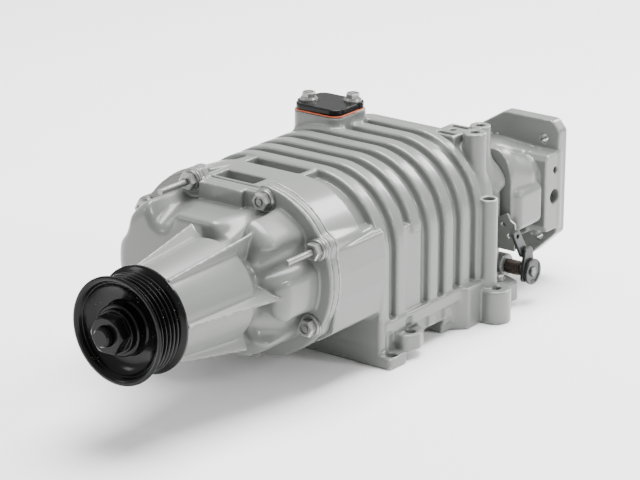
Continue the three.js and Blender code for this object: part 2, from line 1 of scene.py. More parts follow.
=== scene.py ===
"""Belt-driven twin-rotor supercharger: the looks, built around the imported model.

The castings are carved as smooth signed-distance solids on a grid and meshed, so that their
fillets, ribs and bosses run into each other as poured metal does. Turned parts are lathed, and
screws and coils come from geometry nodes. Sizes are millimetres in the maker's drawing: x is
across from midway between the rotors, y runs back from the pulley's front rim, z is up from the
rotor axes. The datum turns them into the frame's metres.
"""

import logging
import math
from collections.abc import Callable, Iterable, Sequence
from dataclasses import dataclass
from enum import Enum
from itertools import product

import bmesh
import bpy
import numpy as np
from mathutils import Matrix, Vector


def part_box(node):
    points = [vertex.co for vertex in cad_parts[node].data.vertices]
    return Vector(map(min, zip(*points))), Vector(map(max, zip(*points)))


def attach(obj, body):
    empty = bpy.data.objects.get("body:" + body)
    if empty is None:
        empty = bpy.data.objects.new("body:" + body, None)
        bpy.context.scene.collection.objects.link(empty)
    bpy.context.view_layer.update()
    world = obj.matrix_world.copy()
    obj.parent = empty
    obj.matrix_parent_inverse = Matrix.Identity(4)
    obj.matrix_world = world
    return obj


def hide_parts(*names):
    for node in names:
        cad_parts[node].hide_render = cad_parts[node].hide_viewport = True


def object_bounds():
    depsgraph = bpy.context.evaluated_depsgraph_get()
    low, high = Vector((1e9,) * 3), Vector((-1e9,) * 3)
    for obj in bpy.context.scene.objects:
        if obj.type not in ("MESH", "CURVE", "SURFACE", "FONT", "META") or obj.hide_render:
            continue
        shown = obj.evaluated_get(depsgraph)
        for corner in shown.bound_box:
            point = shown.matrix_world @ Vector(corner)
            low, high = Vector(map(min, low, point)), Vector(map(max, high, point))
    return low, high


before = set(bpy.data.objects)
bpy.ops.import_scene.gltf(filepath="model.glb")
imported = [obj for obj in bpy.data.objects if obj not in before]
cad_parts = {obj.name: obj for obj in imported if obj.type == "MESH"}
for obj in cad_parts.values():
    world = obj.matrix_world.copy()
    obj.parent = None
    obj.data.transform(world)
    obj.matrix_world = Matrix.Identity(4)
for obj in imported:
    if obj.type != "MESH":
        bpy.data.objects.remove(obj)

LOG = logging.getLogger("supercharger")
CAD_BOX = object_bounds()
MM = 0.001

Point2 = tuple[float, float]
Point3 = tuple[float, float, float]

# The housing's left lobe and the bolt flange's are drawn in from the rotor's own axis.
ROTOR_HALF_CENTRES = 27.0
SHELL_LEFT = -21.0
FLANGE_LEFT = -14.2
FLANGE_RADIUS = 55.6
LAND_Z = 50.0

# The cover's bolts by x and z, and which of them end in long studs.
COVER_BOLTS: tuple[Point2, ...] = (
    (-25.5, 48.4), (32.4, 46.6), (72.5, 22.5), (67.5, -28.3),
    (21.0, -51.5), (-20.0, -51.5), (-60.0, -26.0), (-62.0, 23.0),
)
STUDS = (0, 2)

# Grid values start at FAR, shapes are sampled a few steps past their box, and a mesh is thinned
# to the budget.
FAR = 30.0
SAMPLE_MARGIN = 3
TRIANGLE_BUDGET = 190_000


class Axis(Enum):
    """The direction a section is drawn out along, as an index into x, y, z."""

    X = 0
    Y = 1
    Z = 2


class Slot(Enum):
    """The material slots, whose values name the materials."""

    CAST_PAINT = "cast_paint"
    BLACK_GLOSS = "black_gloss"
    ZINC_STEEL = "zinc_steel"
    GROUND_STEEL = "ground_steel"
    BARE_ALUMINIUM = "bare_aluminium"
    SEAL_RUBBER = "seal_rubber"
    GASKET_RED = "gasket_red"
    DARK_STEEL = "dark_steel"
    SPRING_STEEL = "spring_steel"


@dataclass(frozen=True)
class Datum:
    """Where the drawing's zero point lies in the frame, in metres."""

    x: float
    y: float
    z: float

    @classmethod
    def from_frame(cls) -> "Datum":
        """Find the zero point from the pulley, whose axis is the drive rotor's."""
        low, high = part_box("pulley")
        return cls((low.x + high.x) / 2 - ROTOR_HALF_CENTRES * MM, low.y, (low.z + high.z) / 2)

    def place(self, points: np.ndarray) -> np.ndarray:
        """Turn drawing millimetres into frame metres.

        Args:
            points: Rows of x, y, z in millimetres.

        Returns:
            The same rows in metres.
        """
        return np.asarray(points, float) * MM + np.array((self.x, self.y, self.z))


DATUM = Datum.from_frame()


def rounded(across: np.ndarray, along: np.ndarray, edge: float) -> np.ndarray:
    """Signed distance where two walls meet in an edge of a given radius.

    Args:
        across: Distance to the first wall, already moved in by the radius.
        along: Distance to the second wall, likewise.
        edge: The edge's radius.

    Returns:
        The joined distance, negative inside.
    """
    inside = np.minimum(np.maximum(across, along), 0)
    return inside + np.hypot(np.maximum(across, 0), np.maximum(along, 0)) - edge


# ------------------------------------------------------------------ flat sections
@dataclass(frozen=True)
class Disc:
    """A round section."""

    u: float
    v: float
    radius: float

    def extent(self) -> tuple[Point2, Point2]:
        """Lowest and highest corner."""
        r = self.radius
        return (self.u - r, self.v - r), (self.u + r, self.v + r)

    def distance(self, u: np.ndarray, v: np.ndarray) -> np.ndarray:
        """Signed distance to the edge, negative inside."""
        return np.hypot(u - self.u, v - self.v) - self.radius


@dataclass(frozen=True)
class Lobes:
    """Two equal circles joined by flat top and bottom lines, round the rotor axes unless told."""

    radius: float
    left: float = -ROTOR_HALF_CENTRES
    right: float = ROTOR_HALF_CENTRES

    def extent(self) -> tuple[Point2, Point2]:
        """Lowest and highest corner."""
        r = self.radius
        return (self.left - r, -r), (self.right + r, r)

    def distance(self, u: np.ndarray, v: np.ndarray) -> np.ndarray:
        """Signed distance to the edge, negative inside."""
        out = np.maximum(np.maximum(u - self.right, self.left - u), 0)
        return np.hypot(out, v) - self.radius


@dataclass(frozen=True)
class Arch:
    """The lobes' upper half, with straight sides down to a sill."""

    radius: float
    sill: float

    def extent(self) -> tuple[Point2, Point2]:
        """Lowest and highest corner."""
        r = self.radius
        return (SHELL_LEFT - r, self.sill), (ROTOR_HALF_CENTRES + r, r)

    def distance(self, u: np.ndarray, v: np.ndarray) -> np.ndarray:
        """Signed distance to the edge, negative inside.

        Args:
            u: The grid's first coordinate across the section.
            v: The grid's second coordinate across the section.

        Returns:
            Distances in millimetres, negative inside.
        """
        out = np.maximum(np.maximum(u - ROTOR_HALF_CENTRES, SHELL_LEFT - u), 0)
        shell = np.hypot(out, np.maximum(v, 0)) - self.radius
        return np.maximum(shell, self.sill - v)


@dataclass(frozen=True)
class RoundRect:
    """A rectangle with rounded corners."""

    u0: float
    u1: float
    v0: float
    v1: float
    radius: float

    def extent(self) -> tuple[Point2, Point2]:
        """Lowest and highest corner."""
        return (self.u0, self.v0), (self.u1, self.v1)

    def distance(self, u: np.ndarray, v: np.ndarray) -> np.ndarray:
        """Signed distance to the edge, negative inside.

        Args:
            u: The grid's first coordinate across the section.
            v: The grid's second coordinate across the section.

        Returns:
            Distances in millimetres, negative inside.
        """
        du = np.abs(u - (self.u0 + self.u1) / 2) - (self.u1 - self.u0) / 2 + self.radius
        dv = np.abs(v - (self.v0 + self.v1) / 2) - (self.v1 - self.v0) / 2 + self.radius
        return rounded(du, dv, self.radius)


@dataclass(frozen=True)
class Outline:
    """A polygon with its corners rounded by growing it."""

    points: tuple[Point2, ...]
    grow: float = 0.0

    def extent(self) -> tuple[Point2, Point2]:
        """Lowest and highest corner.

        Returns:
            The lowest and the highest corner of its box.
        """
        us = [p[0] for p in self.points]
        vs = [p[1] for p in self.points]
        g = self.grow
        return (min(us) - g, min(vs) - g), (max(us) + g, max(vs) + g)

    def distance(self, u: np.ndarray, v: np.ndarray) -> np.ndarray:
        """Signed distance to the edge, negative inside.

        Args:
            u: The grid's first coordinate across the section.
            v: The grid's second coordinate across the section.

        Returns:
            Distances in millimetres, negative inside.
        """
        near = None
        flips = None
        for (au, av), (bu, bv) in zip(self.points, self.points[1:] + self.points[:1]):
            eu, ev = bu - au, bv - av
            wu, wv = u - au, v - av
            t = np.clip((wu * eu + wv * ev) / (eu * eu + ev * ev), 0, 1)
            gap = (wu - eu * t) ** 2 + (wv - ev * t) ** 2
            before = wu * (bv - av) < eu * wv
            crosses = ((av <= v) != (bv <= v)) & (before == (bv > av))
            near = gap if near is None else np.minimum(near, gap)
            flips = crosses if flips is None else flips ^ crosses
        return np.where(flips, -1.0, 1.0) * np.sqrt(near) - self.grow


@dataclass(frozen=True)
class Hexagon:
    """A regular hexagon with two flats facing along v."""

    u: float
    v: float
    across_flats: float

    def extent(self) -> tuple[Point2, Point2]:
        """Lowest and highest corner."""
        r = self.across_flats / math.sqrt(3)
        return (self.u - r, self.v - r), (self.u + r, self.v + r)

    def distance(self, u: np.ndarray, v: np.ndarray) -> np.ndarray:
        """Signed distance to the nearest flat's line, negative inside.

        Args:
            u: The grid's first coordinate across the section.
            v: The grid's second coordinate across the section.

        Returns:
            Distances in millimetres, negative inside.
        """
        du, dv = np.abs(u - self.u), np.abs(v - self.v)
        slanted = du * math.cos(math.pi / 6) + dv * 0.5
        return np.maximum(slanted, dv) - self.across_flats / 2


Section = Disc | Lobes | Arch | RoundRect | Outline | Hexagon
_ACROSS = {Axis.X: (1, 2), Axis.Y: (0, 2), Axis.Z: (0, 1)}


# ------------------------------------------------------------------ solid shapes
@dataclass(frozen=True)
class Extrusion:
    """A section drawn out along an axis, with its end edges rounded."""

    section: Section
    axis: Axis
    start: float
    end: float
    edge: float = 0.0

    def extent(self) -> tuple[np.ndarray, np.ndarray]:
        """Lowest and highest corner.

        Returns:
            The lowest and the highest corner of its box.
        """
        low, high = np.zeros(3), np.zeros(3)
        flat_low, flat_high = self.section.extent()
        for k, index in enumerate(_ACROSS[self.axis]):
            low[index], high[index] = flat_low[k], flat_high[k]
        low[self.axis.value], high[self.axis.value] = self.start, self.end
        return low, high

    def distance(self, at: Sequence[np.ndarray]) -> np.ndarray:
        """Signed distance at the grid's x, y, z arrays.

        Args:
            at: The grid's x, y and z arrays.

        Returns:
            Distances in millimetres, negative inside.
        """
        a, b = _ACROSS[self.axis]
        flat = self.section.distance(at[a], at[b]) + self.edge
        middle, half = (self.start + self.end) / 2, (self.end - self.start) / 2
        along = np.abs(at[self.axis.value] - middle) - half + self.edge
        return rounded(flat, along, self.edge)


@dataclass(frozen=True)
class Cone:
    """A cone frustum along y, or with a spread, a taper round a line of that half length in x."""

    x: float
    z: float
    start: float
    end: float
    start_radius: float
    end_radius: float
    edge: float = 0.5
    spread: float = 0.0

    def extent(self) -> tuple[np.ndarray, np.ndarray]:
        """Lowest and highest corner.

        Returns:
            The lowest and the highest corner of its box.
        """
        r = max(self.start_radius, self.end_radius)
        wide = r + self.spread
        low = np.array((self.x - wide, self.start, self.z - r))
        return low, np.array((self.x + wide, self.end, self.z + r))

    def distance(self, at: Sequence[np.ndarray]) -> np.ndarray:
        """Signed distance at the grid's x, y, z arrays.

        Args:
            at: The grid's x, y and z arrays.

        Returns:
            Distances in millimetres, negative inside.
        """
        x, y, z = at
        slope = (self.end_radius - self.start_radius) / (self.end - self.start)
        t = np.clip(y, self.start, self.end) - self.start
        out = np.maximum(np.abs(x - self.x) - self.spread, 0)
        skin = np.hypot(out, z - self.z) - (self.start_radius + slope * t)
        flat = skin / math.hypot(1, slope) + self.edge
        middle, half = (self.start + self.end) / 2, (self.end - self.start) / 2
        along = np.abs(y - middle) - half + self.edge
        return rounded(flat, along, self.edge)


@dataclass(frozen=True)
class Rod:
    """A round-ended rod between two points, with a radius at each."""

    a: Point3
    b: Point3
    start_radius: float
    end_radius: float

    def extent(self) -> tuple[np.ndarray, np.ndarray]:
        """Lowest and highest corner."""
        r = max(self.start_radius, self.end_radius)
        return np.minimum(self.a, self.b) - r, np.maximum(self.a, self.b) + r

    def distance(self, at: Sequence[np.ndarray]) -> np.ndarray:
        """Signed distance at the grid's x, y, z arrays.

        Args:
            at: The grid's x, y and z arrays.

        Returns:
            Distances in millimetres, negative inside.
        """
        run = np.subtract(self.b, self.a)
        rel = [at[k] - self.a[k] for k in range(3)]
        t = sum(rel[k] * run[k] for k in range(3)) / float(run @ run)
        t = np.clip(t, 0, 1)
        gap = np.sqrt(sum((rel[k] - run[k] * t) ** 2 for k in range(3)))
        return gap - (self.start_radius + (self.end_radius - self.start_radius) * t)


@dataclass(frozen=True)
class SnoutFin:
    """One wedge-flanked fin of the snout, with a thin crest that rises towards the rear."""

    angle: float
    start: float
    end: float
    crest_start: float
    crest_end: float
    half_tip: float = 0.7
    flank: float = 0.27

    def extent(self) -> tuple[np.ndarray, np.ndarray]:
        """Lowest and highest corner.

        Returns:
            The lowest and the highest corner of its box.
        """
        r = self.crest_end + 1
        x = ROTOR_HALF_CENTRES
        return np.array((x - r, self.start, -r)), np.array((x + r, self.end, r))

    def distance(self, at: Sequence[np.ndarray]) -> np.ndarray:
        """Signed distance at the grid's x, y, z arrays.

        Args:
            at: The grid's x, y and z arrays.

        Returns:
            Distances in millimetres, negative inside.
        """
        x, y, z = at[0] - ROTOR_HALF_CENTRES, at[1], at[2]
        c, s = math.cos(self.angle), math.sin(self.angle)
        out = x * c + z * s
        across = np.abs(z * c - x * s)
        t = (np.clip(y, self.start, self.end) - self.start) / (self.end - self.start)
        crest = self.crest_start + (self.crest_end - self.crest_start) * t
        side = (across - self.half_tip - self.flank * (crest - out)) / math.hypot(1, self.flank)
        reach = np.maximum(out - crest, np.maximum(self.start - y, y - self.end))
        return smooth_max(np.maximum(side, reach), -out, 0.5)


Shape = Extrusion | Cone | Rod | SnoutFin


def smooth_min(a: np.ndarray, b: np.ndarray, blend: float) -> np.ndarray:
    """The smaller of two distances, with a fillet of about the blend where they meet.

    Args:
        a: One distance.
        b: The other distance.
        blend: The radius of the fillet or rounded edge.

    Returns:
        The blended distances.
    """
    if blend <= 0:
        return np.minimum(a, b)
    h = np.maximum(blend - np.abs(a - b), 0) / blend
    return np.minimum(a, b) - h * h * (blend / 4)


def smooth_max(a: np.ndarray, b: np.ndarray, blend: float) -> np.ndarray:
    """The larger of two distances, with a rounded edge of about the blend where they meet."""
    return -smooth_min(-a, -b, blend)


def block(low: Point3, high: Point3, edge: float = 1.0) -> Extrusion:
    """A box with rounded edges, from its lowest to its highest corner."""
    return Extrusion(RoundRect(low[0], high[0], low[1], high[1], edge), Axis.Z, low[2], high[2], edge)


def rod_y(x: float, z: float, start: float, end: float, radius: float, edge: float = 0.4) -> Extrusion:
    """A straight round bar along y."""
    return Extrusion(Disc(x, z, radius), Axis.Y, start, end, edge)


def rod_z(x: float, y: float, start: float, end: float, radius: float, edge: float = 0.4) -> Extrusion:
    """A straight round bar along z."""
    return Extrusion(Disc(x, y, radius), Axis.Z, start, end, edge)


def rod_x(y: float, z: float, start: float, end: float, radius: float, edge: float = 0.4) -> Extrusion:
    """A straight round bar along x."""
    return Extrusion(Disc(y, z, radius), Axis.X, start, end, edge)


# ------------------------------------------------------------------ carving and meshing
class Casting:
    """A solid held as signed distances on a grid, to be added to, cut and meshed."""

    def __init__(self, low: Point3, high: Point3, step: float) -> None:
        """Start with nothing inside the box from low to high.

        Args:
            low: The box's lowest corner.
            high: The box's highest corner.
            step: The grid's spacing in millimetres.
        """
        self.step = step
        self.low = np.array(low, float)
        count = np.ceil((np.array(high) - self.low) / step).astype(int) + 1
        self.values = np.full(tuple(count), FAR, np.float32)
        self.lines = [self.low[k] + step * np.arange(count[k]) for k in range(3)]

    def _apply(self, shape: Shape, blend: float, join: Callable) -> None:
        """Combine a shape with the values, only near the shape's own box.

        Args:
            shape: The shape.
            blend: The radius of the fillet or rounded edge.
            join: What joins the values and the shape, by the blend.
        """
        low, high = shape.extent()
        margin = blend + SAMPLE_MARGIN * self.step
        spans = []
        for k in range(3):
            first = np.searchsorted(self.lines[k], low[k] - margin)
            last = np.searchsorted(self.lines[k], high[k] + margin)
            spans.append(slice(int(first), int(last)))
        if any(s.start >= s.stop for s in spans):
            return
        at = [
            self.lines[k][spans[k]].reshape([-1 if k == j else 1 for j in range(3)]).astype(np.float32)
            for k in range(3)
        ]
        window = tuple(spans)
        self.values[window] = join(self.values[window], shape.distance(at), blend)

    def add(self, *shapes: Shape, blend: float = 1.0) -> "Casting":
        """Add shapes, each with a fillet where it meets what is there.

        Args:
            *shapes: The shapes.
            blend: The radius of the fillet or rounded edge.

        Returns:
            This casting, so that calls can be chained.
        """
        for shape in shapes:
            self._apply(shape, blend, smooth_min)
        return self

    def cut(self, *shapes: Shape, blend: float = 0.6) -> "Casting":
        """Cut shapes away, each leaving a rounded edge.

        Args:
            *shapes: The shapes.
            blend: The radius of the fillet or rounded edge.

        Returns:
            This casting, so that calls can be chained.
        """
        for shape in shapes:
            self._apply(shape, blend, lambda a, b, k: smooth_max(a, -b, k))
        return self

    def sample(self, points: np.ndarray) -> np.ndarray:
        """Distances at any points, read between the grid's own.

        Args:
            points: Drawing points, one to a row.

        Returns:
            The distance at each point.
        """
        rel = (points - self.low) / self.step
        top = np.array(self.values.shape) - 2
        base = np.clip(np.floor(rel).astype(int), 0, top)
        f = np.clip(rel - base, 0, 1)
        total = np.zeros(len(points))
        for corner in product((0, 1), repeat=3):
            weight = np.prod([f[:, k] if corner[k] else 1 - f[:, k] for k in range(3)], axis=0)
            index = base + corner
            total += weight * self.values[index[:, 0], index[:, 1], index[:, 2]]
        return total

    def gradient(self, points: np.ndarray) -> np.ndarray:
        """Outward unit directions at points near the surface.

        Args:
            points: Drawing points, one to a row.

        Returns:
            One unit direction to a row.
        """
        half = 0.75 * self.step
        slopes = np.empty_like(points)
        for k in range(3):
            shift = np.zeros(3)
            shift[k] = half
            slopes[:, k] = self.sample(points + shift) - self.sample(points - shift)
        return slopes / np.maximum(np.linalg.norm(slopes, axis=1, keepdims=True), 1e-9)

    def net(self) -> tuple[np.ndarray, np.ndarray]:
        """Mesh the surface with one point in each cell that it crosses.

        Returns:
            The points in millimetres and the four-sided faces, facing out.
        """
        v = self.values
        inside = v < 0
        n = np.array(v.shape) - 1
        count = np.zeros(tuple(n), np.uint8)
        for i, j, k in product((0, 1), repeat=3):
            count += inside[i:n[0] + i, j:n[1] + j, k:n[2] + k]
        active = (count > 0) & (count < 8)
        cells = np.argwhere(active)
        number = np.full(tuple(n), -1, np.int64)
        number[active] = np.arange(len(cells))
        total = np.zeros((len(cells), 3))
        hits = np.zeros((len(cells), 1))
        for a in product((0, 1), repeat=3):
            for axis in range(3):
                if a[axis]:
                    continue
                b = list(a)
                b[axis] = 1
                ca, cb = cells + a, cells + b
                va = v[ca[:, 0], ca[:, 1], ca[:, 2]].astype(float)
                vb = v[cb[:, 0], cb[:, 1], cb[:, 2]].astype(float)
                crossed = (va < 0) != (vb < 0)
                t = np.where(crossed, va / np.where(crossed, va - vb, 1), 0)
                place = np.tile(np.array(a, float), (len(cells), 1))
                place[:, axis] = t
                total += place * crossed[:, None]
                hits += crossed[:, None]
        points = self.low + self.step * (cells + total / hits)
        faces = []
        for axis in range(3):
            p, q = (axis + 1) % 3, (axis + 2) % 3
            first = [slice(1, -1)] * 3
            first[axis] = slice(None, -1)
            second = list(first)
            second[axis] = slice(1, None)
            near, far = inside[tuple(first)], inside[tuple(second)]
            found = np.argwhere(near != far)
            outward = near[found[:, 0], found[:, 1], found[:, 2]]
            cell = found.copy()
            cell[:, p] += 1
            cell[:, q] += 1
            ring = []
            for dp, dq in ((-1, -1), (0, -1), (0, 0), (-1, 0)):
                c = cell.copy()
                c[:, p] += dp
                c[:, q] += dq
                ring.append(number[c[:, 0], c[:, 1], c[:, 2]])
            quad = np.stack(ring, axis=1)
            quad[~outward] = quad[~outward][:, ::-1]
            faces.append(quad)
        return points, np.concatenate(faces)

    def to_object(self, name: str, material: bpy.types.Material) -> bpy.types.Object:
        """Mesh the solid, thin it to the budget, and shade it from its own slopes.

        Args:
            name: The piece's name.
            material: Its look.

        Returns:
            The object in the scene.
        """
        points, faces = self.net()
        obj = mesh_object(name, points, faces, material)
        triangles = 2 * len(faces)
        if triangles > TRIANGLE_BUDGET:
            thin = obj.modifiers.new("thin", "DECIMATE")
            thin.ratio = TRIANGLE_BUDGET / triangles
            obj = baked(obj)
        mesh = obj.data
        flat = np.empty(len(mesh.vertices) * 3, np.float32)
        mesh.vertices.foreach_get("co", flat)
        zero = np.array((DATUM.x, DATUM.y, DATUM.z))
        at = (flat.reshape(-1, 3).astype(float) - zero) / MM
        for _ in range(2):
            at -= self.gradient(at) * np.clip(self.sample(at), -self.step, self.step)[:, None]
        mesh.vertices.foreach_set("co", DATUM.place(at).astype(np.float32).ravel())
        mesh.shade_smooth()
        mesh.update()
        mesh.normals_split_custom_set_from_vertices([tuple(n) for n in self.gradient(at)])
        return obj


def mesh_object(
    name: str, points: np.ndarray, faces: Iterable, material: bpy.types.Material,
) -> bpy.types.Object:
    """Make an object at the origin from drawing points and faces.

    Args:
        name: The piece's name.
        points: The corners, in drawing millimetres.
        faces: Each face's corners by number.
        material: Its look.

    Returns:
        The object in the scene.
    """
    mesh = bpy.data.meshes.new(name)
    mesh.from_pydata(DATUM.place(points).tolist(), [], [list(map(int, f)) for f in faces])
    mesh.materials.append(material)
    mesh.update()
    obj = bpy.data.objects.new(name, mesh)
    bpy.context.scene.collection.objects.link(obj)
    return obj


def baked(obj: bpy.types.Object) -> bpy.types.Object:
    """Turn an object with modifiers into a plain mesh object of the same name.

    Args:
        obj: The object to work on.

    Returns:
        The plain object that takes its place.
    """
    bpy.context.view_layer.update()
    depsgraph = bpy.context.evaluated_depsgraph_get()
    made = bpy.data.meshes.new_from_object(obj.evaluated_get(depsgraph))
    name = obj.name
    materials = list(obj.data.materials)
    old = obj.data
    obj.modifiers.clear()
    obj.data = made
    if not made.materials:
        for material in materials:
            made.materials.append(material)
    bpy.data.meshes.remove(old)
    made.name = name
    return obj


def tidy_normals(obj: bpy.types.Object, crease: float = 32.0) -> bpy.types.Object:
    """Merge doubles, turn faces out, and keep edges sharper than the crease in degrees.

    Args:
        obj: The object to work on.
        crease: The angle in degrees beyond which an edge stays sharp.

    Returns:
        The same object.
    """
    work = bmesh.new()
    work.from_mesh(obj.data)
    bmesh.ops.remove_doubles(work, verts=work.verts, dist=1e-6)
    bmesh.ops.recalc_face_normals(work, faces=work.faces)
    work.to_mesh(obj.data)
    work.free()
    obj.data.shade_smooth()
    obj.data.set_sharp_from_angle(angle=math.radians(crease))
    return obj


def settle(obj: bpy.types.Object, body: str, slot: Slot, *nodes: str) -> bpy.types.Object:
    """Hang a finished piece on its body and hide the CAD nodes that it stands for.

    Args:
        obj: The finished piece.
        body: The body that carries it.
        slot: Its look; not used.
        *nodes: The CAD nodes that it stands in for.

    Returns:
        The same object.
    """
    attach(obj, body)
    if nodes:
        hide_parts(*nodes)
    LOG.info("%s: %d faces on %s", obj.name, len(obj.data.polygons), body)
    return obj


def lathe(
    name: str, profile: Sequence[Point2], x: float, z: float, material: bpy.types.Material,
    segments: int = 144,
) -> bpy.types.Object:
    """Turn a closed profile round an axis along y.

    Args:
        name: The piece's name.
        profile: Points of radius and y, in order round the section.
        x: The axis's place across.
        z: The axis's height.
        material: The finish.
        segments: How many steps go round.

    Returns:
        The turned piece.
    """
    turn = np.linspace(0, 2 * math.pi, segments, endpoint=False)
    ring = np.array(profile, float)
    radius, along = ring[:, 0][None, :], ring[:, 1][None, :]
    c, s = np.cos(turn)[:, None], np.sin(turn)[:, None]
    points = np.stack([x + radius * c, along + 0 * c, z + radius * s], axis=2).reshape(-1, 3)
    n = len(ring)
    faces = []
    for i in range(segments):
        j = (i + 1) % segments
        for k in range(n):
            m = (k + 1) % n
            faces.append((i * n + k, i * n + m, j * n + m, j * n + k))
    return tidy_normals(mesh_object(name, points, faces, material))


# ------------------------------------------------------------------ shader groups
class Groups:
    """The shader groups that the finishes share, each built once."""

    def __init__(self) -> None:
        """Build every group."""
        self.grain = self._grain()
        self.wear_and_highlight = self._wear_and_highlight()
        self.dust = self._dust()

    @staticmethod
    def _start(name: str, inputs: Sequence[tuple[str, str, float]],
               outputs: Sequence[str]) -> tuple[bpy.types.NodeTree, bpy.types.Node, bpy.types.Node]:
        """Make an empty group with its sockets.

        Args:
            name: The group's name.
            inputs: Each input's name, socket type and first value.
            outputs: The names of its outputs.

        Returns:
            The tree, its input node and its output node.
        """
        tree = bpy.data.node_groups.new(name, "ShaderNodeTree")
        for label, kind, value in inputs:
            socket = tree.interface.new_socket(name=label, in_out="INPUT", socket_type=kind)
            if kind == "NodeSocketFloat":
                socket.default_value = value
        for label in outputs:
            tree.interface.new_socket(name=label, in_out="OUTPUT", socket_type="NodeSocketFloat")
        return tree, tree.nodes.new("NodeGroupInput"), tree.nodes.new("NodeGroupOutput")

    def _grain(self) -> bpy.types.NodeTree:
        """Fine texture of a coating, with a slow mottle beside it.

        Returns:
            The group.
        """
        tree, given, out = self._start(
            "surface_grain",
            (("Vector", "NodeSocketVector", 0), ("Scale", "NodeSocketFloat", 900),
             ("Mottle Scale", "NodeSocketFloat", 22)),
            ("Height", "Mottle"),
        )
        fine = tree.nodes.new("ShaderNodeTexNoise")
        fine.inputs["Detail"].default_value = 3.0
        fine.inputs["Roughness"].default_value = 0.55
        slow = tree.nodes.new("ShaderNodeTexNoise")
        slow.inputs["Detail"].default_value = 4.0
        slow.inputs["Roughness"].default_value = 0.6
        for node, scale in ((fine, "Scale"), (slow, "Mottle Scale")):
            tree.links.new(given.outputs["Vector"], node.inputs["Vector"])
            tree.links.new(given.outputs[scale], node.inputs["Scale"])
        tree.links.new(fine.outputs["Fac"], out.inputs["Height"])
        tree.links.new(slow.outputs["Fac"], out.inputs["Mottle"])
        return tree

    def _wear_and_highlight(self) -> bpy.types.NodeTree:
        """Lighter marks along outer edges, from how sharply the surface turns: broken wear on the metal
        finishes, a painted highlight on the cast paint.

        Returns:
            The group.
        """
        tree, given, out = self._start(
            "edge_wear_and_highlight",
            (("Vector", "NodeSocketVector", 0), ("Pointiness", "NodeSocketFloat", 0.5),
             ("Start", "NodeSocketFloat", 0.53), ("Scale", "NodeSocketFloat", 260)),
            ("Mask",),
        )
        # The mask lightens edges: real wear on metal, a painted highlight on the cast paint.
        noise = tree.nodes.new("ShaderNodeTexNoise")
        noise.inputs["Detail"].default_value = 5.0
        shift = tree.nodes.new("ShaderNodeMath")
        shift.operation = "MULTIPLY_ADD"
        shift.inputs[1].default_value = 0.08
        shift.inputs[2].default_value = -0.04
        total = tree.nodes.new("ShaderNodeMath")
        total.operation = "ADD"
        less = tree.nodes.new("ShaderNodeMath")
        less.operation = "SUBTRACT"
        gain = tree.nodes.new("ShaderNodeMath")
        gain.operation = "MULTIPLY"
        gain.use_clamp = True
        gain.inputs[1].default_value = 22.0
        tree.links.new(given.outputs["Vector"], noise.inputs["Vector"])
        tree.links.new(given.outputs["Scale"], noise.inputs["Scale"])
        tree.links.new(noise.outputs["Fac"], shift.inputs[0])
        tree.links.new(given.outputs["Pointiness"], total.inputs[0])
        tree.links.new(shift.outputs[0], total.inputs[1])
        tree.links.new(total.outputs[0], less.inputs[0])
        tree.links.new(given.outputs["Start"], less.inputs[1])
        tree.links.new(less.outputs[0], gain.inputs[0])
        tree.links.new(gain.outputs[0], out.inputs["Mask"])
        return tree

    def _dust(self) -> bpy.types.NodeTree:
        """Sparse small specks.

        Returns:
            The group.
        """
        tree, given, out = self._start(
            "specks",
            (("Vector", "NodeSocketVector", 0), ("Scale", "NodeSocketFloat", 420),
             ("Size", "NodeSocketFloat", 0.12)),
            ("Mask",),
        )
        cells = tree.nodes.new("ShaderNodeTexVoronoi")
        near = tree.nodes.new("ShaderNodeMath")
        near.operation = "LESS_THAN"
        patch = tree.nodes.new("ShaderNodeTexNoise")
        patch.inputs["Scale"].default_value = 60.0
        some = tree.nodes.new("ShaderNodeMath")
        some.operation = "GREATER_THAN"
        some.inputs[1].default_value = 0.56
        both = tree.nodes.new("ShaderNodeMath")
        both.operation = "MULTIPLY"
        tree.links.new(given.outputs["Vector"], cells.inputs["Vector"])
        tree.links.new(given.outputs["Scale"], cells.inputs["Scale"])
        tree.links.new(given.outputs["Vector"], patch.inputs["Vector"])
        tree.links.new(cells.outputs["Distance"], near.inputs[0])
        tree.links.new(given.outputs["Size"], near.inputs[1])
        tree.links.new(patch.outputs["Fac"], some.inputs[0])
        tree.links.new(near.outputs[0], both.inputs[0])
        tree.links.new(some.outputs[0], both.inputs[1])
        tree.links.new(both.outputs[0], out.inputs["Mask"])
        return tree


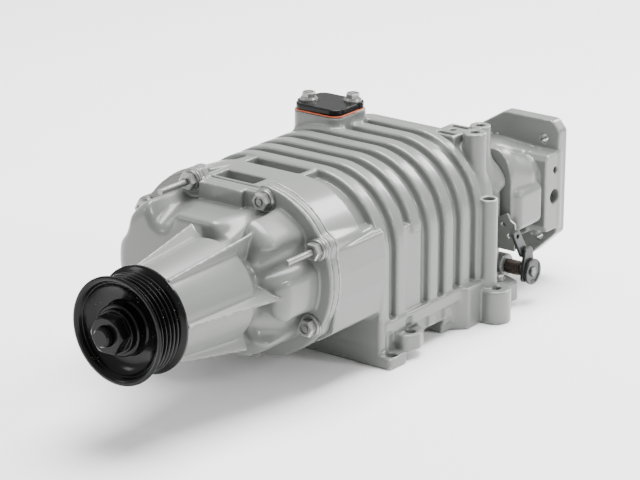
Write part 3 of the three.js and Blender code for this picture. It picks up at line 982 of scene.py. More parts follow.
@dataclass(frozen=True)
class Finish:
    """One finish: its base look, its texture, how it wears, and, for the cast paint, a painted highlight
    along its edges.
    """

    slot: Slot
    colour: tuple[float, float, float]
    roughness: float
    metallic: float = 0.0
    specular: float = 0.5
    coat: float = 0.0
    coat_roughness: float = 0.1
    dark_share: float = 0.9
    rough_spread: float = 0.08
    grain_scale: float = 900.0
    grain_depth: float = 0.00002
    mottle_scale: float = 22.0
    # Edge colour and its threshold: wear on the metal finishes, a painted highlight on the cast paint.
    wear_and_highlight_colour: tuple[float, float, float] = (0.6, 0.6, 0.58)
    wear_and_highlight_start: float = 0.0
    speck_size: float = 0.0
    speck_colour: tuple[float, float, float] = (0.5, 0.5, 0.48)

    def build(self, groups: Groups) -> bpy.types.Material:
        """Make the material from Object coordinates and the shared groups.

        Args:
            groups: The shared shader groups.

        Returns:
            The material.
        """
        material = bpy.data.materials.new(self.slot.value)
        material.use_nodes = True
        nodes, links = material.node_tree.nodes, material.node_tree.links
        shader = nodes["Principled BSDF"]
        shader.inputs["Metallic"].default_value = self.metallic
        shader.inputs["Specular IOR Level"].default_value = self.specular
        shader.inputs["Coat Weight"].default_value = self.coat
        shader.inputs["Coat Roughness"].default_value = self.coat_roughness
        place = nodes.new("ShaderNodeTexCoord")
        grain = nodes.new("ShaderNodeGroup")
        grain.node_tree = groups.grain
        grain.inputs["Scale"].default_value = self.grain_scale
        grain.inputs["Mottle Scale"].default_value = self.mottle_scale
        links.new(place.outputs["Object"], grain.inputs["Vector"])
        tone = nodes.new("ShaderNodeMix")
        tone.data_type = "RGBA"
        tone.inputs[6].default_value = (*[c * self.dark_share for c in self.colour], 1)
        tone.inputs[7].default_value = (*self.colour, 1)
        links.new(grain.outputs["Mottle"], tone.inputs[0])
        colour = tone.outputs[2]
        rough = nodes.new("ShaderNodeMapRange")
        rough.inputs["To Min"].default_value = self.roughness - self.rough_spread
        rough.inputs["To Max"].default_value = self.roughness + self.rough_spread
        links.new(grain.outputs["Mottle"], rough.inputs["Value"])
        links.new(rough.outputs["Result"], shader.inputs["Roughness"])
        # Lighter colour on sharp edges: broken wear on metal, a painted highlight on the cast paint.
        if self.wear_and_highlight_start:
            shape = nodes.new("ShaderNodeNewGeometry")
            wear_and_highlight = nodes.new("ShaderNodeGroup")
            wear_and_highlight.node_tree = groups.wear_and_highlight
            wear_and_highlight.inputs["Start"].default_value = self.wear_and_highlight_start
            links.new(place.outputs["Object"], wear_and_highlight.inputs["Vector"])
            links.new(shape.outputs["Pointiness"], wear_and_highlight.inputs["Pointiness"])
            colour = self._over(material, colour, wear_and_highlight.outputs["Mask"], self.wear_and_highlight_colour)
        if self.speck_size:
            specks = nodes.new("ShaderNodeGroup")
            specks.node_tree = groups.dust
            specks.inputs["Size"].default_value = self.speck_size
            links.new(place.outputs["Object"], specks.inputs["Vector"])
            colour = self._over(material, colour, specks.outputs["Mask"], self.speck_colour)
        links.new(colour, shader.inputs["Base Color"])
        bump = nodes.new("ShaderNodeBump")
        bump.inputs["Strength"].default_value = 0.6
        bump.inputs["Distance"].default_value = self.grain_depth
        links.new(grain.outputs["Height"], bump.inputs["Height"])
        links.new(bump.outputs["Normal"], shader.inputs["Normal"])
        return material

    @staticmethod
    def _over(
        material: bpy.types.Material, under: bpy.types.NodeSocket, mask: bpy.types.NodeSocket,
        colour: tuple[float, float, float],
    ) -> bpy.types.NodeSocket:
        """Lay a colour over another where the mask is white.

        Args:
            material: The material that the nodes go into.
            under: The colour below.
            mask: Where the new colour shows.
            colour: The new colour.

        Returns:
            The mixed colour's socket.
        """
        mix = material.node_tree.nodes.new("ShaderNodeMix")
        mix.data_type = "RGBA"
        mix.inputs[7].default_value = (*colour, 1)
        material.node_tree.links.new(mask, mix.inputs[0])
        material.node_tree.links.new(under, mix.inputs[6])
        return mix.outputs[2]


FINISHES = (
    Finish(Slot.CAST_PAINT, (0.15, 0.159, 0.148), 0.37, coat=0.4, coat_roughness=0.13,
           dark_share=0.88, rough_spread=0.05, grain_scale=650, grain_depth=0.00003,
           speck_size=0.05, speck_colour=(0.16, 0.165, 0.155),
           # Painted highlight: the cast paint's lighter edge colour stands in for the thin glints on its
           # edges.
           wear_and_highlight_colour=(0.4, 0.41, 0.39), wear_and_highlight_start=0.54),
    Finish(Slot.BLACK_GLOSS, (0.003, 0.003, 0.003), 0.22, specular=0.16, coat=0.07, coat_roughness=0.05,
           dark_share=0.6, rough_spread=0.06, grain_scale=500, grain_depth=0.00002,
           wear_and_highlight_colour=(0.22, 0.22, 0.21), wear_and_highlight_start=0.6,
           speck_size=0.06, speck_colour=(0.35, 0.35, 0.33)),
    Finish(Slot.ZINC_STEEL, (0.31, 0.315, 0.3), 0.34, metallic=0.75, dark_share=0.7,
           rough_spread=0.1, grain_scale=1400, mottle_scale=120,
           wear_and_highlight_colour=(0.55, 0.55, 0.53), wear_and_highlight_start=0.58),
    Finish(Slot.GROUND_STEEL, (0.55, 0.55, 0.54), 0.26, metallic=1.0, grain_scale=2000),
    Finish(Slot.BARE_ALUMINIUM, (0.62, 0.63, 0.63), 0.33, metallic=1.0, grain_scale=1100),
    Finish(Slot.SEAL_RUBBER, (0.018, 0.018, 0.019), 0.72, dark_share=0.7, grain_scale=1500),
    Finish(Slot.GASKET_RED, (0.55, 0.12, 0.045), 0.62, dark_share=0.7, grain_scale=1800,
           mottle_scale=90),
    Finish(Slot.DARK_STEEL, (0.022, 0.023, 0.024), 0.38, metallic=0.3, coat=0.25, dark_share=0.6,
           rough_spread=0.1, mottle_scale=110, wear_and_highlight_colour=(0.2, 0.2, 0.2), wear_and_highlight_start=0.6),
    Finish(Slot.SPRING_STEEL, (0.06, 0.046, 0.038), 0.4, metallic=0.6, dark_share=0.6,
           mottle_scale=150, grain_scale=1300),
)


# ------------------------------------------------------------------ geometry-node builder
class NodeBuilder:
    """A geometry node tree under construction, with named inputs for its sizes."""

    def __init__(self, name: str, sizes: dict[str, float]) -> None:
        """Make the tree with one geometry input and one float input for each size in mm.

        Args:
            name: The tree's name.
            sizes: The names of its float inputs.
        """
        self.tree = bpy.data.node_groups.new(name, "GeometryNodeTree")
        face = self.tree.interface
        face.new_socket(name="Geometry", in_out="INPUT", socket_type="NodeSocketGeometry")
        face.new_socket(name="Geometry", in_out="OUTPUT", socket_type="NodeSocketGeometry")
        for label, value in sizes.items():
            socket = face.new_socket(name=label, in_out="INPUT", socket_type="NodeSocketFloat")
            socket.default_value = value * MM
        self.given = self.tree.nodes.new("NodeGroupInput")
        self.out = self.tree.nodes.new("NodeGroupOutput")

    def size(self, label: str) -> bpy.types.NodeSocket:
        """The group input of a named size."""
        return self.given.outputs[label]

    def node(self, kind: str, inputs: dict[str, object] | None = None,
             **settings: object) -> bpy.types.Node:
        """Add a node, set its options, and set or link its inputs by name.

        Args:
            kind: The node's type.
            inputs: Sockets to link, or values to set, by input name.
            **settings: The node's own options.

        Returns:
            The node.
        """
        made = self.tree.nodes.new(kind)
        for key, value in settings.items():
            setattr(made, key, value)
        for label, value in (inputs or {}).items():
            if isinstance(value, bpy.types.NodeSocket):
                self.tree.links.new(value, made.inputs[label])
            else:
                made.inputs[label].default_value = value
        return made

    def math(self, operation: str, a: object, b: object) -> bpy.types.NodeSocket:
        """A sum or product of two sockets or numbers.

        Args:
            operation: The operation's name.
            a: The first socket or number.
            b: The second socket or number.

        Returns:
            The result's socket.
        """
        made = self.tree.nodes.new("ShaderNodeMath")
        made.operation = operation
        for index, value in enumerate((a, b)):
            if isinstance(value, bpy.types.NodeSocket):
                self.tree.links.new(value, made.inputs[index])
            else:
                made.inputs[index].default_value = value
        return made.outputs[0]

    def lift(self, shape: bpy.types.NodeSocket, height: object) -> bpy.types.NodeSocket:
        """Move a shape up z by a socket or a number of metres.

        Args:
            shape: The shape.
            height: How far to move it, as a socket or a number of metres.

        Returns:
            The moved shape's socket.
        """
        vector = self.node("ShaderNodeCombineXYZ", {"Z": height})
        moved = self.node("GeometryNodeTransform", {"Geometry": shape, "Translation": vector.outputs[0]})
        return moved.outputs[0]

    def bar(self, radius: object, depth: object, base: object, sides: int,
            top: object = None) -> bpy.types.NodeSocket:
        """An upright bar or frustum of given radius and depth that stands on base.

        Args:
            radius: Its radius at the base.
            depth: Its height.
            base: The z that it stands on.
            sides: How many sides it has.
            top: Its radius at the top, or None for the same as at the base.

        Returns:
            The solid's socket.
        """
        made = self.node("GeometryNodeMeshCone", {
            "Vertices": sides, "Radius Bottom": radius,
            "Radius Top": radius if top is None else top, "Depth": depth,
        })
        return self.lift(made.outputs["Mesh"], base)

    def combine(self, operation: str, first: bpy.types.NodeSocket,
                others: Sequence[bpy.types.NodeSocket]) -> bpy.types.NodeSocket:
        """Join or cut solids exactly.

        Args:
            operation: UNION or DIFFERENCE.
            first: The solid that is joined to or cut.
            others: The solids to join or take away.

        Returns:
            The result's socket.
        """
        made = self.tree.nodes.new("GeometryNodeMeshBoolean")
        made.operation = operation
        made.solver = "EXACT"
        if operation == "DIFFERENCE":
            self.tree.links.new(first, made.inputs["Mesh 1"])
            for other in others:
                self.tree.links.new(other, made.inputs["Mesh 2"])
        else:
            for other in (first, *others):
                self.tree.links.new(other, made.inputs["Mesh 2"])
        return made.outputs["Mesh"]

    def close(self, shape: bpy.types.NodeSocket, material: bpy.types.Material) -> None:
        """End the tree: realize the instances and set the material.

        Args:
            shape: The tree's last geometry.
            material: Its look.
        """
        real = self.node("GeometryNodeRealizeInstances", {"Geometry": shape})
        dressed = self.node("GeometryNodeSetMaterial", {"Geometry": real.outputs[0]})
        dressed.inputs["Material"].default_value = material
        self.tree.links.new(dressed.outputs[0], self.out.inputs[0])


def grown(
    name: str, points: Sequence[Point3], tree: bpy.types.NodeTree, sizes: dict[str, float],
    material: bpy.types.Material, crease: float = 30.0,
) -> bpy.types.Object:
    """Run a node tree on a cloud of points and keep the plain mesh.

    Args:
        name: The piece's name.
        points: Where the tree's pieces go, in drawing millimetres.
        tree: The geometry node tree.
        sizes: Values in millimetres for the tree's named inputs.
        material: The finish.
        crease: Edges that turn more than this many degrees stay sharp.

    Returns:
        The plain mesh object.
    """
    obj = mesh_object(name, np.array(points, float), [], material)
    modifier = obj.modifiers.new("grow", "NODES")
    modifier.node_group = tree
    for item in tree.interface.items_tree:
        if item.in_out == "INPUT" and item.name in sizes:
            modifier[item.identifier] = float(sizes[item.name] * MM)
    return tidy_normals(baked(obj), crease)


def screw_tree(name: str, material: bpy.types.Material, turn: Point3) -> bpy.types.NodeTree:
    """Flanged screws on points: flange, chamfered hexagon, recessed end, pin and shank.

    Args:
        name: The tree's name.
        material: The finish.
        turn: The rotation that points each head outwards.

    Returns:
        The finished tree.
    """
    b = NodeBuilder(name, {
        "Flange Radius": 7.7, "Flange Height": 2.0, "Hex Radius": 5.9, "Hex Height": 5.6,
        "Recess Radius": 3.5, "Recess Depth": 1.0, "Pin Radius": 2.1, "Pin Length": 1.0,
        "Shank Radius": 2.9, "Shank Length": 5.0,
    })
    flange = b.bar(b.size("Flange Radius"), b.size("Flange Height"), 0.0, 40,
                   b.math("MULTIPLY", b.size("Hex Radius"), 1.08))
    washer = b.bar(b.size("Flange Radius"), b.math("MULTIPLY", b.size("Flange Height"), 0.45), 0.0, 40)
    straight = b.math("MULTIPLY", b.size("Hex Height"), 0.86)
    body = b.bar(b.size("Hex Radius"), straight, b.math("MULTIPLY", b.size("Flange Height"), 0.5), 6)
    top = b.math("ADD", straight, b.math("MULTIPLY", b.size("Flange Height"), 0.5))
    chamfer = b.bar(b.size("Hex Radius"), b.math("MULTIPLY", b.size("Hex Height"), 0.14), top, 6,
                    b.math("MULTIPLY", b.size("Hex Radius"), 0.88))
    shank = b.bar(b.size("Shank Radius"), b.size("Shank Length"),
                  b.math("MULTIPLY", b.size("Shank Length"), -1.0), 20)
    head = b.combine("UNION", flange, (washer, body, chamfer, shank))
    crown = b.math("ADD", b.size("Hex Height"), b.math("MULTIPLY", b.size("Flange Height"), 0.5))
    floor = b.math("SUBTRACT", crown, b.size("Recess Depth"))
    recess_depth = b.math("ADD", b.size("Recess Depth"), 0.001)
    recess = b.bar(b.math("MULTIPLY", b.size("Recess Radius"), 0.9), recess_depth, floor, 28,
                   b.size("Recess Radius"))
    cut = b.combine("DIFFERENCE", head, (recess,))
    pin = b.bar(b.size("Pin Radius"), b.math("ADD", b.size("Pin Length"), 0.0005),
                b.math("SUBTRACT", floor, 0.0005), 24, b.math("MULTIPLY", b.size("Pin Radius"), 0.94))
    whole = b.combine("UNION", cut, (pin,))
    cloud = b.node("GeometryNodeMeshToPoints", {"Mesh": b.given.outputs["Geometry"]})
    spread = b.node("GeometryNodeInstanceOnPoints", {
        "Points": cloud.outputs[0], "Instance": whole, "Rotation": turn,
    })
    b.close(spread.outputs[0], material)
    return b.tree


def coil_tree(material: bpy.types.Material) -> bpy.types.NodeTree:
    """A closed coil of round wire along x, one at each point.

    Args:
        material: Its look.

    Returns:
        The finished tree.
    """
    b = NodeBuilder("coil", {"Coil Radius": 4.4, "Length": 9.0, "Wire Radius": 0.62})
    spiral = b.node("GeometryNodeCurveSpiral", {
        "Resolution": 26, "Rotations": 7.0, "Start Radius": b.size("Coil Radius"),
        "End Radius": b.size("Coil Radius"), "Height": b.size("Length"),
    })
    wire = b.node("GeometryNodeCurvePrimitiveCircle", {"Resolution": 10, "Radius": b.size("Wire Radius")})
    tube = b.node("GeometryNodeCurveToMesh", {
        "Curve": spiral.outputs[0], "Profile Curve": wire.outputs[0], "Fill Caps": True,
    })
    cloud = b.node("GeometryNodeMeshToPoints", {"Mesh": b.given.outputs["Geometry"]})
    spread = b.node("GeometryNodeInstanceOnPoints", {
        "Points": cloud.outputs[0], "Instance": tube.outputs[0], "Rotation": (0, math.pi / 2, 0),
    })
    b.close(spread.outputs[0], material)
    return b.tree




# ------------------------------------------------------------------ sub-assemblies
@dataclass
class FrontCover:
    """The snout with its six fins and the gear cover behind it, cast in one."""

    step: float = 0.8
    cone_start: float = 30.0
    cone_end: float = 90.0
    cone_start_radius: float = 28.6
    cone_end_radius: float = 33.2
    neck_radius: float = 27.0
    fin_start: float = 31.5
    short_fin_end: float = 97.0
    long_fin_end: float = 112.0
    fin_crest_start: float = 30.6
    fin_crest_slope: float = 0.178
    wall_front: float = 101.0
    wall_radius: float = 47.0
    wall_left: float = -13.0
    shoulder: float = 9.0
    flange_front: float = 136.6
    face: float = 140.0
    boss_radius: float = 7.8
    saddle_z: float = 38.5
    plug_y: float = 122.0
    plug_z: float = 6.0

    def build(self, material: bpy.types.Material) -> bpy.types.Object:
        """Carve the cover.

        Args:
            material: Its look.

        Returns:
            The piece in the scene.
        """
        x = ROTOR_HALF_CENTRES
        deep = self.face + 8
        c = Casting((-85, 28, -62), (86, self.face + 4, 58), self.step)
        c.add(Extrusion(Lobes(self.wall_radius, self.wall_left), Axis.Y, self.wall_front, deep + 8,
                        self.shoulder))
        c.cut(block((-30, 80, self.saddle_z), (30, 190, 70), 5.0), blend=5.0)
        for bx, bz in COVER_BOLTS:
            self._scallop(c, bx, bz)
        c.add(Extrusion(Lobes(FLANGE_RADIUS, FLANGE_LEFT), Axis.Y, self.flange_front, deep, 1.0), blend=1.6)
        c.cut(block((-21, 100, LAND_Z), (28, 200, 90), 0.3), blend=1.2)
        for bx, bz in COVER_BOLTS:
            c.add(rod_y(bx, bz, self.flange_front - 0.1, deep, self.boss_radius, 0.8), blend=2.0)
        c.add(block((-18, 133, 34), (16.5, deep, LAND_Z), 0.8), blend=1.4)
        c.add(rod_y(x, 0, 86, 112, self.neck_radius, 0.5), blend=2.5)
        c.add(Cone(x, 0, self.cone_start, self.cone_end, self.cone_start_radius,
                   self.cone_end_radius, 0.4), blend=0.8)
        for index in range(6):
            end = self.long_fin_end if index in (0, 1, 3) else self.short_fin_end
            rise = self.fin_crest_slope * (end - self.fin_start)
            c.add(SnoutFin(index * math.pi / 3, self.fin_start, end, self.fin_crest_start,
                           self.fin_crest_start + rise), blend=1.4)
        c.cut(block((-90, self.face, -70), (90, self.face + 30, 70), 0.1), blend=0.0)
        for bx, bz in COVER_BOLTS:
            c.cut(rod_y(bx, bz, 118, self.flange_front, 8.2, 0.3), blend=1.0)
        c.cut(Extrusion(Lobes(30.2), Axis.Y, 117, deep, 0.5), rod_y(x, 0, 93, 119, 21),
              rod_y(x, 0, 34.8, 94, 20), rod_y(x, 0, 20, 36, 18.5), blend=0.3)
        c.cut(rod_x(self.plug_y, self.plug_z, -90, -52, 5.2), blend=0.4)
        return settle(c.to_object("front_cover_casting", material), "housing", Slot.CAST_PAINT,
                      "front_cover")

    def plug(self, material: bpy.types.Material) -> bpy.types.Object:
        """The low oil fill plug in the cover's left wall.

        Args:
            material: Its look.

        Returns:
            The piece in the scene.
        """
        y, z = self.plug_y, self.plug_z
        c = Casting((-65, y - 8, z - 8), (-48, y + 8, z + 8), 0.35)
        c.add(Extrusion(Hexagon(y, z, 11.5), Axis.X, -63, -58.6, 0.5), rod_x(y, z, -59.6, -50, 4.9, 0.6))
        c.cut(rod_x(y, z, -70, -61.5, 2.6, 0.2), blend=0.3)
        return settle(c.to_object("fill_plug_head", material), "housing", Slot.ZINC_STEEL,
                      "oil_fill_plug")

    def _scallop(self, c: Casting, bx: float, bz: float) -> None:
        """Cut the valley that runs from one bolt down to the front shoulder.

        Args:
            c: The casting that is being carved.
            bx: The bolt's x.
            bz: The bolt's z.
        """
        centre = ROTOR_HALF_CENTRES if bx > 0 else self.wall_left
        way = np.array((bx - centre, bz))
        way = way / np.linalg.norm(way)
        back, front = (way * 58, way * 52) if bx < -40 else (way * 54, way * 36)
        c.cut(Rod((centre + back[0], 139.0, back[1]), (centre + front[0], 97.0, front[1]), 11.0, 9.0),
              blend=6.0)


@dataclass
class BearingPlate:
    """The plate between the gear cover and the rotor housing."""

    step: float = 0.8
    front: float = 140.3
    back: float = 145.7

    def build(self, material: bpy.types.Material) -> bpy.types.Object:
        """Carve the plate with its plug and bearing seats.

        Args:
            material: Its look.

        Returns:
            The piece in the scene.
        """
        c = Casting((-85, 138, -62), (86, 163, 58), self.step)
        c.add(Extrusion(Lobes(FLANGE_RADIUS - 0.1, FLANGE_LEFT), Axis.Y, self.front, self.back, 0.2))
        c.cut(block((-21, 100, LAND_Z - 0.1), (28, 200, 90), 0.3), blend=1.2)
        for bx, bz in COVER_BOLTS:
            c.add(rod_y(bx, bz, self.front, self.back, 7.7, 0.2), blend=2.0)
        c.add(Extrusion(Lobes(36.1), Axis.Y, self.front + 1, 160, 0.5), blend=0.0)
        for x in (-ROTOR_HALF_CENTRES, ROTOR_HALF_CENTRES):
            c.cut(rod_y(x, 0, 146.7, 170, 20), rod_y(x, 0, 130, 150, 15), blend=0.3)
        return settle(c.to_object("bearing_plate_casting", material), "housing", Slot.CAST_PAINT,
                      "bearing_plate")


@dataclass
class RotorHousing:
    """The main casting: front lobes, ribs, rails and feet, rear block, posts and port boss."""

    step: float = 1.0
    front: float = 145.8
    wall_y: float = 195.0
    rib_radius: float = 51.0
    valley_radius: float = 45.6
    rib_starts: tuple[float, ...] = (195.0, 213.0, 230.5, 248.5, 266.0, 284.5, 302.0)
    rib_width: float = 10.2
    sill: float = -60.0
    base: float = -72.0
    back: float = 350.0

    def build(self, material: bpy.types.Material) -> bpy.types.Object:
        """Carve the housing.

        Args:
            material: Its look.

        Returns:
            The piece in the scene.
        """
        c = Casting((-101, 143, -75), (101, self.back + 3, 62), self.step)
        self._front(c)
        self._ribs(c)
        self._base(c)
        self._rear(c)
        self._inside(c)
        return settle(c.to_object("rotor_housing_casting", material), "housing", Slot.CAST_PAINT,
                      "rotor_housing")

    def _front(self, c: Casting) -> None:
        """Smooth lobes with the ridges behind the bolts and the land on top.

        Args:
            c: The casting that is being carved.
        """
        middle = (ROTOR_HALF_CENTRES + SHELL_LEFT) / 2
        c.add(Cone(middle, 0, self.front, 200, 53.0, 49.0, 0.2, ROTOR_HALF_CENTRES - middle))
        c.add(Extrusion(Lobes(FLANGE_RADIUS, FLANGE_LEFT), Axis.Y, self.front, 147.5, 0.2), blend=3.0)
        for bx, bz in COVER_BOLTS:
            c.add(rod_y(bx, bz, self.front, 148, 7.8, 0.2), blend=2.5)
            near = (bx - math.copysign(1.6, bx), 147, bz * 0.96)
            far = (middle + (bx - middle) * 0.9, 204, bz * 0.74)
            c.add(Rod(near, far, 6.6, 5.4), blend=2.6)
        flank = Outline(((60, 19), (76.5, 17.5), (78.6, 2), (78.6, -13), (76.5, -33), (66, -40),
                         (56, -40)), 1.2)
        c.add(Extrusion(flank, Axis.Y, self.front, 199, 0.4), blend=1.2)
        c.cut(block((-21, 100, LAND_Z), (28, 220, 90), 0.3), blend=1.2)
        self._recess(c)
        c.add(block((-21, self.front, 34), (27, 198, LAND_Z), 1.2), blend=2.0)
        c.cut(block((-17, 148.5, 43), (14, 162, 60), 1.2), block((-19, 182, 43), (24, 193.5, 60), 1.2),
              blend=1.0)

    def _recess(self, c: Casting) -> None:
        """The hollow between the front lobes and the first rib, on each upper quarter.

        Args:
            c: The casting that is being carved.
        """
        for side in (-1, 1):
            low, high = sorted((side * 28.0, side * 90.0))
            c.cut(block((low, 181.5, 22), (high, 196, 70), 1.5), blend=1.2)
        c.add(Extrusion(Lobes(45.0, SHELL_LEFT), Axis.Y, 170, 200, 0.2), blend=2.0)

    def _ribs(self, c: Casting) -> None:
        """The wall under the ribs, and each rib over the top and down both sides.

        Args:
            c: The casting that is being carved.
        """
        c.add(Extrusion(Arch(self.valley_radius, self.sill), Axis.Y, self.wall_y, 330, 2.0), blend=2.0)
        last = len(self.rib_starts) - 1
        for index, start in enumerate(self.rib_starts):
            if index == 2:
                rib = Extrusion(Arch(self.rib_radius, 8.0), Axis.Y, start, start + self.rib_width, 1.7)
            else:
                width = 7.5 if index == last else self.rib_width
                rib = Extrusion(Arch(self.rib_radius, self.sill), Axis.Y, start, start + width, 1.7)
            c.add(rib, blend=2.0)
        for side in (-1, 1):
            low, high = sorted((side * 60, side * 75.6))
            c.add(block((low, 222, self.sill), (high, 243, 14), 1.5), blend=2.0)
        c.add(Extrusion(Arch(45.0, self.base), Axis.Y, self.wall_y, 203, 2.0), blend=1.0)

    def _base(self, c: Casting) -> None:
        """The rails, the base plate and its feet.

        Args:
            c: The casting that is being carved.
        """
        c.add(block((-79.4, 199, -52), (79.4, 300, -43), 1.4), blend=1.6)
        c.add(block((-75.6, 199, -66), (75.6, 300, -50), 1.4), blend=1.6)
        c.add(block((-74, self.wall_y + 1, self.base), (74, 327, -57), 1.2), blend=1.2)
        c.add(block((-78, self.wall_y, self.base), (78, 206, -40), 2.4), blend=1.6)
        for side in (-1, 1):
            self._foot(c, side)

    def _foot(self, c: Casting, side: int) -> None:
        """One side's pads, lugs and leg.

        Args:
            c: The casting that is being carved.
            side: Which side, -1 or 1.
        """
        pad = Outline(((side * 60, 197.5), (side * 83.5, 197.5), (side * 83.5, 211.5),
                       (side * 60, 211.5)), 2.5)
        c.add(Extrusion(pad, Axis.Z, self.base, -64.4, 1.0), blend=1.6)
        lug = Outline(((side * 62, 219), (side * 80, 218.5), (side * 82.5, 225), (side * 80, 231),
                       (side * 62, 240)), 5.0)
        c.add(Extrusion(lug, Axis.Z, -66, -54.8, 1.4), blend=1.6)
        c.cut(rod_z(side * 80.3, 224.5, -58.5, -46, 3.5), blend=1.2)
        c.cut(rod_z(side * 81, 203, self.base - 2, -50, 3.6), blend=0.6)
        low, high = sorted((side * 63, side * 95))
        c.cut(block((low, 247, self.base - 5), (high, 269, -62), 1.5), blend=1.5)
        leg = Outline(((side * 58, 272), (side * 69, 275), (side * 81, 287), (side * 80, 303),
                       (side * 77, 325), (side * 58, 325)), 2.0)
        c.add(Extrusion(leg, Axis.Z, self.base, -43.5, 1.6), blend=1.6)
        c.add(rod_z(side * 86.3, 312, self.base, -49.4, 10.6, 1.2), blend=2.0)
        c.cut(rod_z(side * 86.5, 312, self.base - 2, -40, 3.6), blend=0.6)
        ear = Outline(((side * 56, 326), (side * 78, 326), (side * 80, 342), (side * 72, 346),
                       (side * 56, 346)), 3.5)
        c.add(Extrusion(ear, Axis.Z, -68, -54.5, 1.4), blend=1.6)

    def _rear(self, c: Casting) -> None:
        """The rear block with its posts, open columns, slotted pad and the port boss.

        Args:
            c: The casting that is being carved.
        """
        c.add(Extrusion(Lobes(41.5, SHELL_LEFT), Axis.Y, 300, 322, 3.0), blend=4.0)
        behind = self.back + 6
        slope = Outline(((303, -50), (303, 38), (318, 37), (behind, 26), (behind, -50)), 5.0)
        c.add(Extrusion(slope, Axis.X, -44, 55, 9.0), blend=5.0)
        c.add(Extrusion(RoundRect(-62, 66, -60, 6, 8), Axis.Y, 304, self.back - 2, 2.0), blend=4.0)
        c.add(rod_z(61, 323, -50, 50, 8.0, 0.8), blend=3.0)
        c.add(rod_z(55, 338, -40, 50, 7.0, 0.8), blend=3.0)
        c.add(Rod((52, 336, 28), (60, 349, 10), 8.0, 8.0), blend=4.0)
        c.add(block((33, 312, 36), (52, 337, 47.6), 1.0), blend=1.4)
        c.add(rod_z(80, 312, -52, 11, 6.2, 0.5), rod_z(-80, 312, -52, 11, 6.2, 0.5), blend=2.0)
        c.add(block((60, 303, -52), (76, 321, 8), 2.0), block((-76, 303, -52), (-60, 321, 8), 2.0),
              blend=3.0)
        c.add(Extrusion(RoundRect(-49, -11, 269, 303, 7), Axis.Z, 30, 58, 0.4), blend=4.0)
        c.add(rod_z(-43, 280, 36, 58, 8.2, 0.4), rod_z(-18, 296, 36, 58, 8.2, 0.4), blend=3.0)
        c.cut(rod_z(61, 323, 28, 60, 3.1, 0.1), rod_z(55, 338, 28, 60, 3.1, 0.1),
              rod_z(80, 312, -12, 20, 4.2, 0.1), rod_z(-80, 312, -12, 20, 4.2, 0.1),
              rod_z(42, 325, 42, 60, 2.4, 0.1), blend=0.5)
        c.cut(block((36, 314.5, 43.6), (49.5, 319, 60), 1.0), block((36, 331, 43.6), (49.5, 335, 60), 1.0),
              blend=0.5)

    def _inside(self, c: Casting) -> None:
        """The rotor bores, ports, bearing seats and the valve's seat.

        Args:
            c: The casting that is being carved.
        """
        c.cut(block((-95, self.back, -80), (95, self.back + 20, 70), 0.1), blend=0.0)
        c.cut(block((-95, 130, -80), (95, self.front, 70), 0.1),
              block((-105, 130, -90), (105, self.back + 20, self.base), 0.1), blend=0.0)
        for x in (-ROTOR_HALF_CENTRES, ROTOR_HALF_CENTRES):
            c.cut(rod_y(x, 0, 130, 306, 36.5, 0.2), rod_y(x, 0, 300, 318, 13, 0.2), blend=0.3)
        c.cut(Extrusion(Lobes(36.5), Axis.Y, 130, 161, 0.2), blend=0.3)
        c.cut(Extrusion(RoundRect(-32, 32, 204, 290, 6), Axis.Z, -90, -20, 0.3), blend=1.0)
        c.cut(block((-32, 320, -24), (44, self.back + 10, 20), 4.0),
              block((-26, 300, 12), (26, 322, 28), 3.0), blend=1.0)
        c.cut(rod_z(-30, 286, 34, 70, 10), blend=0.6)
        c.cut(block((-60, 335.7, -72), (54, self.back + 10, -27.7), 0.3),
              block((22, 338, -30), (38, 349, -20), 0.3), blend=0.3)


@dataclass
class InletElbow:
    """The inlet duct with its seat, its flange plate and side pad."""

    step: float = 0.8
    start: float = 350.3
    plate_front: float = 400.0
    plate_back: float = 410.0

    def build(self, material: bpy.types.Material) -> bpy.types.Object:
        """Carve the elbow.

        Args:
            material: Its look.

        Returns:
            The piece in the scene.
        """
        c = Casting((-52, 348, -60), (81, 412, 47), self.step)
        c.add(Extrusion(RoundRect(-46, 67, -26, 31, 9), Axis.Y, self.start, 358.3, 1.2))
        c.add(Extrusion(RoundRect(2, 72, -24, 17, 12), Axis.Y, self.start, 402, 1.0), blend=6.0)
        c.add(Rod((58, 356, 14), (60, 372, 8), 14, 14), blend=5.0)
        c.add(Rod((24, 362, 8), (34, 394, 8), 12, 13), blend=8.0)
        c.add(block((40, 353, -25), (77, 383, 3), 5.0), blend=4.0)
        c.add(Extrusion(RoundRect(18, 62, -40, 20, 8), Axis.Y, 388, 402, 2.0), blend=5.0)
        plate = Outline(((34, 36), (69, 36), (72.5, 32), (72, -36), (55, -52), (24, -52),
                         (10, -38), (10, 12), (18, 26)), 4.6)
        c.add(Extrusion(plate, Axis.Y, self.plate_front, self.plate_back, 1.0), blend=2.0)
        side = Outline(((385.5, -29), (385.5, 16), (388, 19), (403, 19), (403, -33), (388, -33)), 1.0)
        c.add(Extrusion(side, Axis.X, 59, 77, 0.9), blend=1.5)
        c.cut(Extrusion(RoundRect(8, 54, -19, 11, 9), Axis.Y, 340, 420, 0.3), blend=1.0)
        for x, z in ((65, 27), (62.5, -42), (20, -44)):
            c.cut(rod_y(x, z, 395, 415, 3.1, 0.1), blend=0.6)
        c.cut(rod_x(396.5, 8, 66, 90, 2.3, 0.1), rod_x(396, -10.5, 64, 90, 5.0, 0.1), blend=0.5)
        c.cut(block((-60, 330, -70), (95, self.start, 60), 0.1),
              block((-60, self.plate_back, -70), (95, 430, 60), 0.1), blend=0.0)
        return settle(c.to_object("inlet_elbow_casting", material), "housing", Slot.CAST_PAINT,
                      "inlet_elbow")


